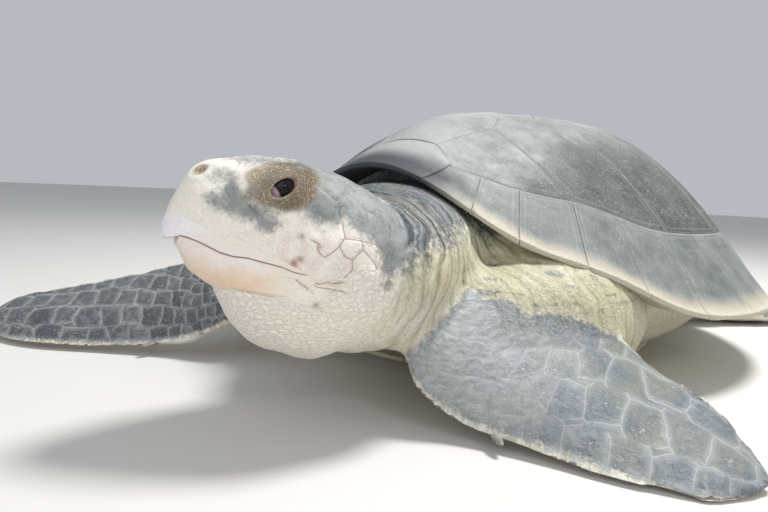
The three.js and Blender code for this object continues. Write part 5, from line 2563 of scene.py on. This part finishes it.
            # On the body the brown mask holds the pale haze of the near fore flipper: partly scuffed wear,
            # partly painted light.
            streaked = g.noise(g.vector("MULTIPLY", warped, (0.2, 0.2, 0.6)), 1.6, 4, 0.7)
            haze = g.times(brown, g.step(streaked, 0.3, 0.7, 0.35, 0.9))
            edges = g.times(g.step(big.outputs["Height"], 0.5, 0.05, 0.0, 0.22), shown)
            margin = g.times(g.step(g.parts(cells)[1], 0.3, 0.05, 0.0, 0.7), on_blade)
            edges = g.math("MAXIMUM", edges, g.times(margin, g.step(mid, 0.35, 0.6)))
            specks = g.plus(edges, g.step(fine, 0.54, 0.7, 0.0, 0.3))
            colour = g.mix(g.math("MAXIMUM", haze, g.times(specks, back)), colour, self.haze)
        stains = g.times(pink, g.step(mid, 0.38, 0.6))
        colour = g.mix(stains, colour, self.pink)
        colour = g.mix(g.times(light_seam, back, 0.7), colour, self.seam)
        pale_seam = g.times(pale_seam, g.rest(back))
        colour = g.mix(g.times(pale_seam, 0.3), colour, (0.30, 0.23, 0.14))
        # Creases and wrinkles of the folds are darkened towards this colour: painted shade in their
        # troughs, on top of their bump.
        painted_crease_shade = g.mix(back, (0.24, 0.22, 0.11), (0.025, 0.035, 0.045))
        colour = g.mix(g.times(creases, 0.7), colour, painted_crease_shade)
        colour = g.mix(g.times(wrinkles, 0.3), colour, painted_crease_shade)
        height = g.minus(height, g.times(creases, 0.9))
        height = g.minus(height, g.times(wrinkles, 0.45))
        if self.region is Region.HEAD:
            head = g.stored("head_pos")
            tiny = g.group(
                self.effects.scales, Place=g.vector("MULTIPLY", warped, (0.19, 0.19, 0.30)), Loose=0.85,
                Seam=0.10
            )
            plates = g.times(self.head_seams(g, near), on_head)
            rings, lid_mask = self.lid_rings(g, head)
            lid_mask = g.times(lid_mask, on_head)
            throat = g.parts(g.stored("cell_pos"))[0]
            scaled = g.times(tiny.outputs["Seam"], throat)
            colour = g.mix(g.times(scaled, 0.28), colour, (0.42, 0.29, 0.22))
            ahead = g.step(g.parts(head)[0], 12, 34)
            lid_tone = g.mix(
                rings, g.mix(ahead, self.brown, (0.29, 0.22, 0.14)),
                g.mix(ahead, self.tan, (0.64, 0.56, 0.44))
            )
            lid_tone = g.mix(g.step(brown, 0.5, 0.97, 0.6, 0.0), lid_tone, self.brown)
            colour = g.mix(g.times(brown, g.step(mid, 0.15, 0.45, 0.75, 1.0)), colour, lid_tone)
            colour = g.mix(
                g.times(plates, 0.6), colour, g.mix(back, (0.38, 0.20, 0.15), (0.52, 0.47, 0.42))
            )
            height = g.plus(height, g.times(tiny.outputs["Height"], throat, 0.55))
            height = g.plus(height, g.times(rings, lid_mask, 0.9))
            height = g.minus(height, g.times(plates, 0.35))
        marks = g.group(self.effects.scratches, Place=place, Size=1.0).outputs[0]
        colour = g.mix(g.times(marks, g.times(back, 0.4)), colour, (0.6, 0.6, 0.56))
        colour = g.mix(g.step(fine, 0.3, 0.75, 0.0, 0.16), colour, (0.08, 0.075, 0.05))
        height = g.plus(height, g.times(fine, 0.16))
        rough = g.step(mid, 0.2, 0.8, self.roughness - 0.12, self.roughness + 0.12)
        self.cover(g, shader, colour, rough, height)
        return material


@dataclass(frozen=True)
class HornFinish(Finish):
    """Horn of the beak: from its border to the rim of the mouth and its front, flaked and stained."""

    border: Colour = (0.82, 0.77, 0.66)
    rim: Colour = (0.84, 0.76, 0.71)
    front: Colour = (0.86, 0.82, 0.85)
    behind: Colour = (0.80, 0.73, 0.61)
    stain: Colour = (0.52, 0.30, 0.22)

    def build(self) -> Material:
        """Builds the material.

        Returns:
            The material.
        """
        material, g, shader = self.start()
        place = g.stored("head_pos")
        along, _, _ = g.parts(place)
        from_rim = g.stored("from_rim", "Fac")
        grain = g.noise(g.vector("MULTIPLY", place, (0.35, 0.35, 1.6)), 2.6, 4, 0.65)
        blotch = g.noise(place, 8, 5, 0.65)
        uneven = g.times(g.minus(blotch, 0.5), 0.9)
        colour = g.mix(g.step(g.plus(from_rim, uneven), 0.15, 0.75), self.rim, self.border)
        ahead = g.step(g.plus(along, g.times(uneven, 20.0)), 50, 74)
        low = g.step(g.plus(from_rim, uneven), 0.95, 0.45)
        colour = g.mix(g.times(ahead, low), colour, self.front)
        colour = g.mix(g.step(along, 30, 12), colour, self.behind)
        spots = g.step(g.noise(place, 3.5, 5, 0.7), 0.6, 0.72)
        stained = g.times(spots, g.step(g.plus(from_rim, uneven), 0.5, 0.0))
        colour = g.mix(g.times(stained, 0.4), colour, self.stain)
        colour = g.mix(g.step(grain, 0.5, 0.75, 0.0, 0.3), colour, (0.50, 0.40, 0.31))
        # The horn's edge at the mouth is painted dark brown: painted shade where the jaws meet.
        colour = g.mix(g.step(from_rim, 0.05, 0.0, 0.0, 0.75), colour, (0.20, 0.11, 0.06))
        marks = g.group(self.effects.scratches, Place=g.millimetres(), Size=0.6).outputs[0]
        colour = g.mix(g.times(marks, 0.4), colour, (0.92, 0.9, 0.88))
        height = g.plus(g.times(grain, 0.3), g.times(blotch, 0.8))
        rough = g.step(grain, 0.3, 0.8, self.roughness - 0.08, self.roughness + 0.15)
        self.cover(g, shader, colour, rough, height)
        return material


@dataclass(frozen=True)
class ScuteFinish(Finish):
    """Scutes: worn grey-green horn under pale dust and painted glare along the crest, scratched, with
    lighter margins.
    """

    base: Colour = (0.034, 0.041, 0.043)
    light: Colour = (0.092, 0.102, 0.096)
    dust: Colour = (0.44, 0.45, 0.44)
    edge: Colour = (0.36, 0.37, 0.34)
    nuchal: Colour = (0.055, 0.06, 0.07)
    edge_width: float = 2.6
    rim_band: bool = False
    crest: float = 200.0
    band: Colour = (0.55, 0.50, 0.40)

    def build(self) -> Material:
        """Builds the material.

        Returns:
            The material.
        """
        material, g, shader = self.start()
        place = g.millimetres()
        away = g.stored("edge_mm", "Fac")
        broad, mid, fine = g.noise(place, 70, 3), g.noise(place, 14, 5, 0.6), g.noise(place, 2.2, 3)
        colour = g.mix(
            g.step(g.plus(g.times(broad, 0.6), g.times(mid, 0.4)), 0.36, 0.64), self.base, self.light
        )
        rings = g.noise(g.joined(away, 0.0, 0.0), 3.4, 3, 0.6)
        ringed = g.times(g.step(rings, 0.5, 0.7), g.step(away, 45, 4))
        colour = g.mix(g.times(ringed, 0.3), colour, self.dust)
        # Along the crest and the middle of the back the scutes fade to pale: partly dust, partly painted
        # glare from the light above.
        x, _, z = g.parts(place)
        across = g.math("ABSOLUTE", g.minus(x, OFFSET[0]))
        drop = g.times(g.minus(self.crest, z), 0.8)
        wide = g.plus(g.times(g.noise(place, 110, 4, 0.6), 1.5), g.times(mid, 0.5))
        uneven = g.times(g.minus(wide, 1.0), 240.0)
        crest_dust_and_glare = g.step(g.plus(across, drop, uneven), 175, -45, 0.03, 0.8)
        colour = g.mix(crest_dust_and_glare, colour, self.dust)
        grains = g.step(g.noise(place, 1.9, 3, 0.75), 0.53, 0.68)
        # Fewer grains low on the flanks keep them darker: painted shade.
        grains = g.times(grains, g.step(z, 90, 190, 0.35, 1.0))
        colour = g.mix(g.times(grains, g.step(mid, 0.35, 0.65, 0.15, 0.6)), colour, self.dust)
        marks = g.group(self.effects.scratches, Place=place, Size=1.5).outputs[0]
        colour = g.mix(g.times(marks, 0.35), colour, (0.55, 0.56, 0.53))
        edge = g.step(g.plus(away, g.times(g.minus(mid, 0.5), 3.0)), self.edge_width, 0.2)
        colour = g.mix(g.times(edge, 0.5), colour, self.edge)
        if self.rim_band:
            share = g.stored("rim_share", "Fac")
            wavy = g.plus(share, g.times(g.minus(broad, 0.5), 0.05))
            colour = g.mix(g.times(g.step(across, 100, 50), g.step(share, 0.86, 0.95)), colour, self.nuchal)
            banded = g.times(g.step(wavy, 0.94, 0.99, 0.0, 0.92), g.step(across, 40, 110, 0.0, 1.0))
            colour = g.mix(banded, colour, self.band)
        colour = g.mix(g.step(fine, 0.35, 0.8, 0.0, 0.2), colour, (0.10, 0.10, 0.08))
        height = g.plus(g.times(rings, 0.35), g.times(mid, 0.7))
        height = g.plus(height, g.times(fine, 0.12))
        height = g.minus(height, g.times(marks, 0.12))
        rough = g.step(mid, 0.2, 0.8, self.roughness - 0.13, self.roughness + 0.14)
        self.cover(g, shader, colour, rough, height)
        return material


@dataclass(frozen=True)
class PlainHornFinish(Finish):
    """Pale horn with mottling: the seam bed, the plastron and the claws."""

    base: Colour = (0.66, 0.59, 0.45)
    other: Colour = (0.78, 0.72, 0.56)
    spots: Colour = (0.40, 0.34, 0.24)
    size: float = 22.0
    seams: bool = False

    def build(self) -> Material:
        """Builds the material.

        Returns:
            The material.
        """
        material, g, shader = self.start()
        place = g.millimetres()
        broad, fine = g.noise(place, self.size, 4), g.noise(place, self.size / 9, 3)
        colour = g.mix(g.step(broad, 0.35, 0.65), self.base, self.other)
        colour = g.mix(g.step(fine, 0.55, 0.8, 0.0, 0.5), colour, self.spots)
        height = g.times(fine, 0.25)
        if self.seams:
            groove = g.step(g.stored("edge_mm", "Fac"), 1.6, 0.4)
            colour = g.mix(g.times(groove, 0.7), colour, self.spots)
            height = g.minus(height, groove)
        marks = g.group(self.effects.scratches, Place=place, Size=1.2).outputs[0]
        colour = g.mix(g.times(marks, 0.35), colour, (0.85, 0.82, 0.74))
        rough = g.step(fine, 0.2, 0.8, self.roughness - 0.1, self.roughness + 0.15)
        self.cover(g, shader, colour, rough, height)
        return material


@dataclass(frozen=True)
class EyeFinish(Finish):
    """The eyeball: black pupil, dark brown iris, a grey-violet white and a pink front corner."""

    pupil: float = 17.0
    iris: float = 37.0

    def build(self) -> Material:
        """Builds the material.

        Returns:
            The material.
        """
        material, g, shader = self.start()
        off_gaze, corner, _ = g.parts(g.stored("gaze"))
        place = g.millimetres()
        streaks = g.noise(place, 1.3, 3)
        iris = g.mix(streaks, (0.008, 0.007, 0.009), (0.03, 0.022, 0.018))
        white = g.mix(streaks, (0.05, 0.04, 0.05), (0.12, 0.10, 0.12))
        colour = g.mix(g.step(off_gaze, self.iris - 2, self.iris + 3), iris, white)
        colour = g.mix(g.step(off_gaze, self.pupil + 1.5, self.pupil - 1.5), colour, (0.004, 0.004, 0.005))
        membrane = g.mix(streaks, (0.34, 0.22, 0.30), (0.52, 0.40, 0.48))
        colour = g.mix(g.step(corner, 0.22, 0.42), colour, membrane)
        shader.inputs["Coat Weight"].default_value = 0.1
        shader.inputs["Coat Roughness"].default_value = 0.03
        rough = g.step(corner, 0.3, 0.5, self.roughness, 0.3)
        self.cover(g, shader, colour, rough, g.times(streaks, g.step(corner, 0.3, 0.5), 0.2))
        return material


@dataclass(frozen=True)
class FloorFinish(Finish):
    """The plain pale floor of the studio."""

    tone: Colour = (0.66, 0.645, 0.62)

    def build(self) -> Material:
        """Builds the material.

        Returns:
            The material.
        """
        material, g, shader = self.start()
        g.put(
            shader.inputs["Base Color"],
            g.mix(g.noise(g.millimetres(), 90, 3), self.tone, tuple(0.97 * c for c in self.tone))
        )
        return material


@dataclass
class Studio:
    """The floor, the soft lights and the camera."""

    eye: tuple[float, float, float] = (306.0, -762.0, 169.0)
    yaw: float = 32.4
    pitch: float = 6.1
    roll: float = 2.7
    lens: float = 30.42

    def place(self, p: Sequence[float]) -> Vector:
        """Turns millimetres in the body's frame into metres in the model's."""
        return Vector((np.array(p, float) + OFFSET) * MM)

    def build_camera(self) -> None:
        """Sets up the camera."""
        data = bpy.data.cameras.new("camera")
        data.lens = self.lens
        data.sensor_width = 36
        data.clip_start = 0.01
        camera = bpy.data.objects.new("camera", data)
        bpy.context.scene.collection.objects.link(camera)
        yaw, pitch, roll = (math.radians(a) for a in (self.yaw, self.pitch, self.roll))
        ahead = Vector(
            (-math.sin(yaw) * math.cos(pitch), math.cos(yaw) * math.cos(pitch), -math.sin(pitch))
        )
        right = ahead.cross(Vector((0, 0, 1))).normalized()
        up = right.cross(ahead)
        leaned = right * math.cos(roll) + up * math.sin(roll)
        raised = up * math.cos(roll) - right * math.sin(roll)
        camera.matrix_world = Matrix.Translation(self.place(self.eye)) @ Matrix(
            (leaned, raised, -ahead)
        ).transposed().to_4x4()
        bpy.context.scene.camera = camera

    def area(self, name: str, at: Sequence[float], aim: Sequence[float], size: float, power: float) -> None:
        """Adds one soft light.

        Args:
            name: The light's name.
            at: Where it is, in millimetres in the body's frame.
            aim: What it points at.
            size: How wide it is, in metres.
            power: Its power, in watts.
        """
        data = bpy.data.lights.new(name, "AREA")
        data.shape = "DISK"
        data.size = size
        data.energy = power
        light = bpy.data.objects.new(name, data)
        light.location = self.place(at)
        light.rotation_euler = (self.place(aim) - self.place(at)).to_track_quat("-Z", "Y").to_euler()
        bpy.context.scene.collection.objects.link(light)

    def build(self, effects: Effects) -> None:
        """Builds the whole studio.

        Args:
            effects: The shared groups.
        """
        self.build_camera()
        bm = bmesh.new()
        bmesh.ops.create_circle(bm, cap_ends=True, segments=96, radius=9)
        floor = new_object("floor", bm)
        dress(floor, FloorFinish("floor", effects, 0.9, 0.2).build())
        world = bpy.data.worlds.new("studio")
        world.use_nodes = True
        world.node_tree.nodes["Background"].inputs["Color"].default_value = (0.86, 0.9, 0.96, 1)
        world.node_tree.nodes["Background"].inputs["Strength"].default_value = 0.55
        bpy.context.scene.world = world
        bpy.context.scene.view_settings.view_transform = "Standard"
        self.area("key", (560, 330, 1850), (0, -150, 80), 0.5, 44)
        self.area("fill", (500, -1700, 900), (50, -350, 100), 1.6, 6)
        self.area("glint", (1300, -1100, 980), (55, -470, 150), 0.22, 2.5)


def main() -> None:
    """Builds the turtle and the studio, in order."""
    logging.basicConfig(level=logging.INFO, format="%(message)s")
    effects = Effects()
    flesh = Skin()
    skin = flesh.build()
    flesh.dress(
        skin, SkinFinish("head skin", effects, 0.56, 0.4, Region.HEAD).build(),
        SkinFinish("body skin", effects, 0.56, 0.4, Region.BODY).build()
    )
    enrol(
        skin, "skin", "head", "neck", "trunk", "tail",
        *[
            f"{word}_{side.word}" for side in Side
            for word in ("upper_arm", "fore_flipper", "thigh", "hind_flipper")
        ]
    )
    eye = EyeFinish("eye", effects, 0.06, 0.2).build()
    nail = PlainHornFinish(
        "claw", effects, 0.4, 0.5, (0.16, 0.155, 0.14), (0.26, 0.25, 0.22), size=6.0
    ).build()
    for side in Side:
        dress(Eyes().build(side), eye)
        dress(Claw().build(side), nail)
    upper = Beak("horn_upper", "beak_upper", LIP, UPPER_BORDER, 0.5).build()
    dress(upper, HornFinish("upper horn", effects, 0.42, 0.4).build())
    lower = Beak("horn_lower", "beak_lower", MOUTH, LOWER_BORDER, 0.5, reach=71.5).build()
    dress(
        lower,
        HornFinish("lower horn", effects, 0.42, 0.4, (0.80, 0.60, 0.43), front=(0.84, 0.72, 0.64)).build()
    )
    scutes, rims, bed = Carapace().build()
    plate = ScuteFinish("scute", effects, 0.6, 0.25).build()
    margin = ScuteFinish(
        "rim", effects, 0.6, 0.25, (0.11, 0.125, 0.125), (0.20, 0.215, 0.20), rim_band=True
    ).build()
    for scute in scutes:
        dress(scute, plate)
    for rim in rims:
        dress(rim, margin)
    dress(
        bed,
        PlainHornFinish(
            "seam bed", effects, 0.6, 0.3, (0.34, 0.345, 0.32), (0.46, 0.46, 0.43), (0.18, 0.18, 0.16)
        ).build()
    )
    under = PlainHornFinish(
        "plastron", effects, 0.45, 0.5, (0.70, 0.62, 0.42), (0.80, 0.74, 0.58), size=45.0, seams=True
    )
    dress(Plastron().build(), under.build())
    Studio().build(effects)


if __name__ == "__main__":
    main()
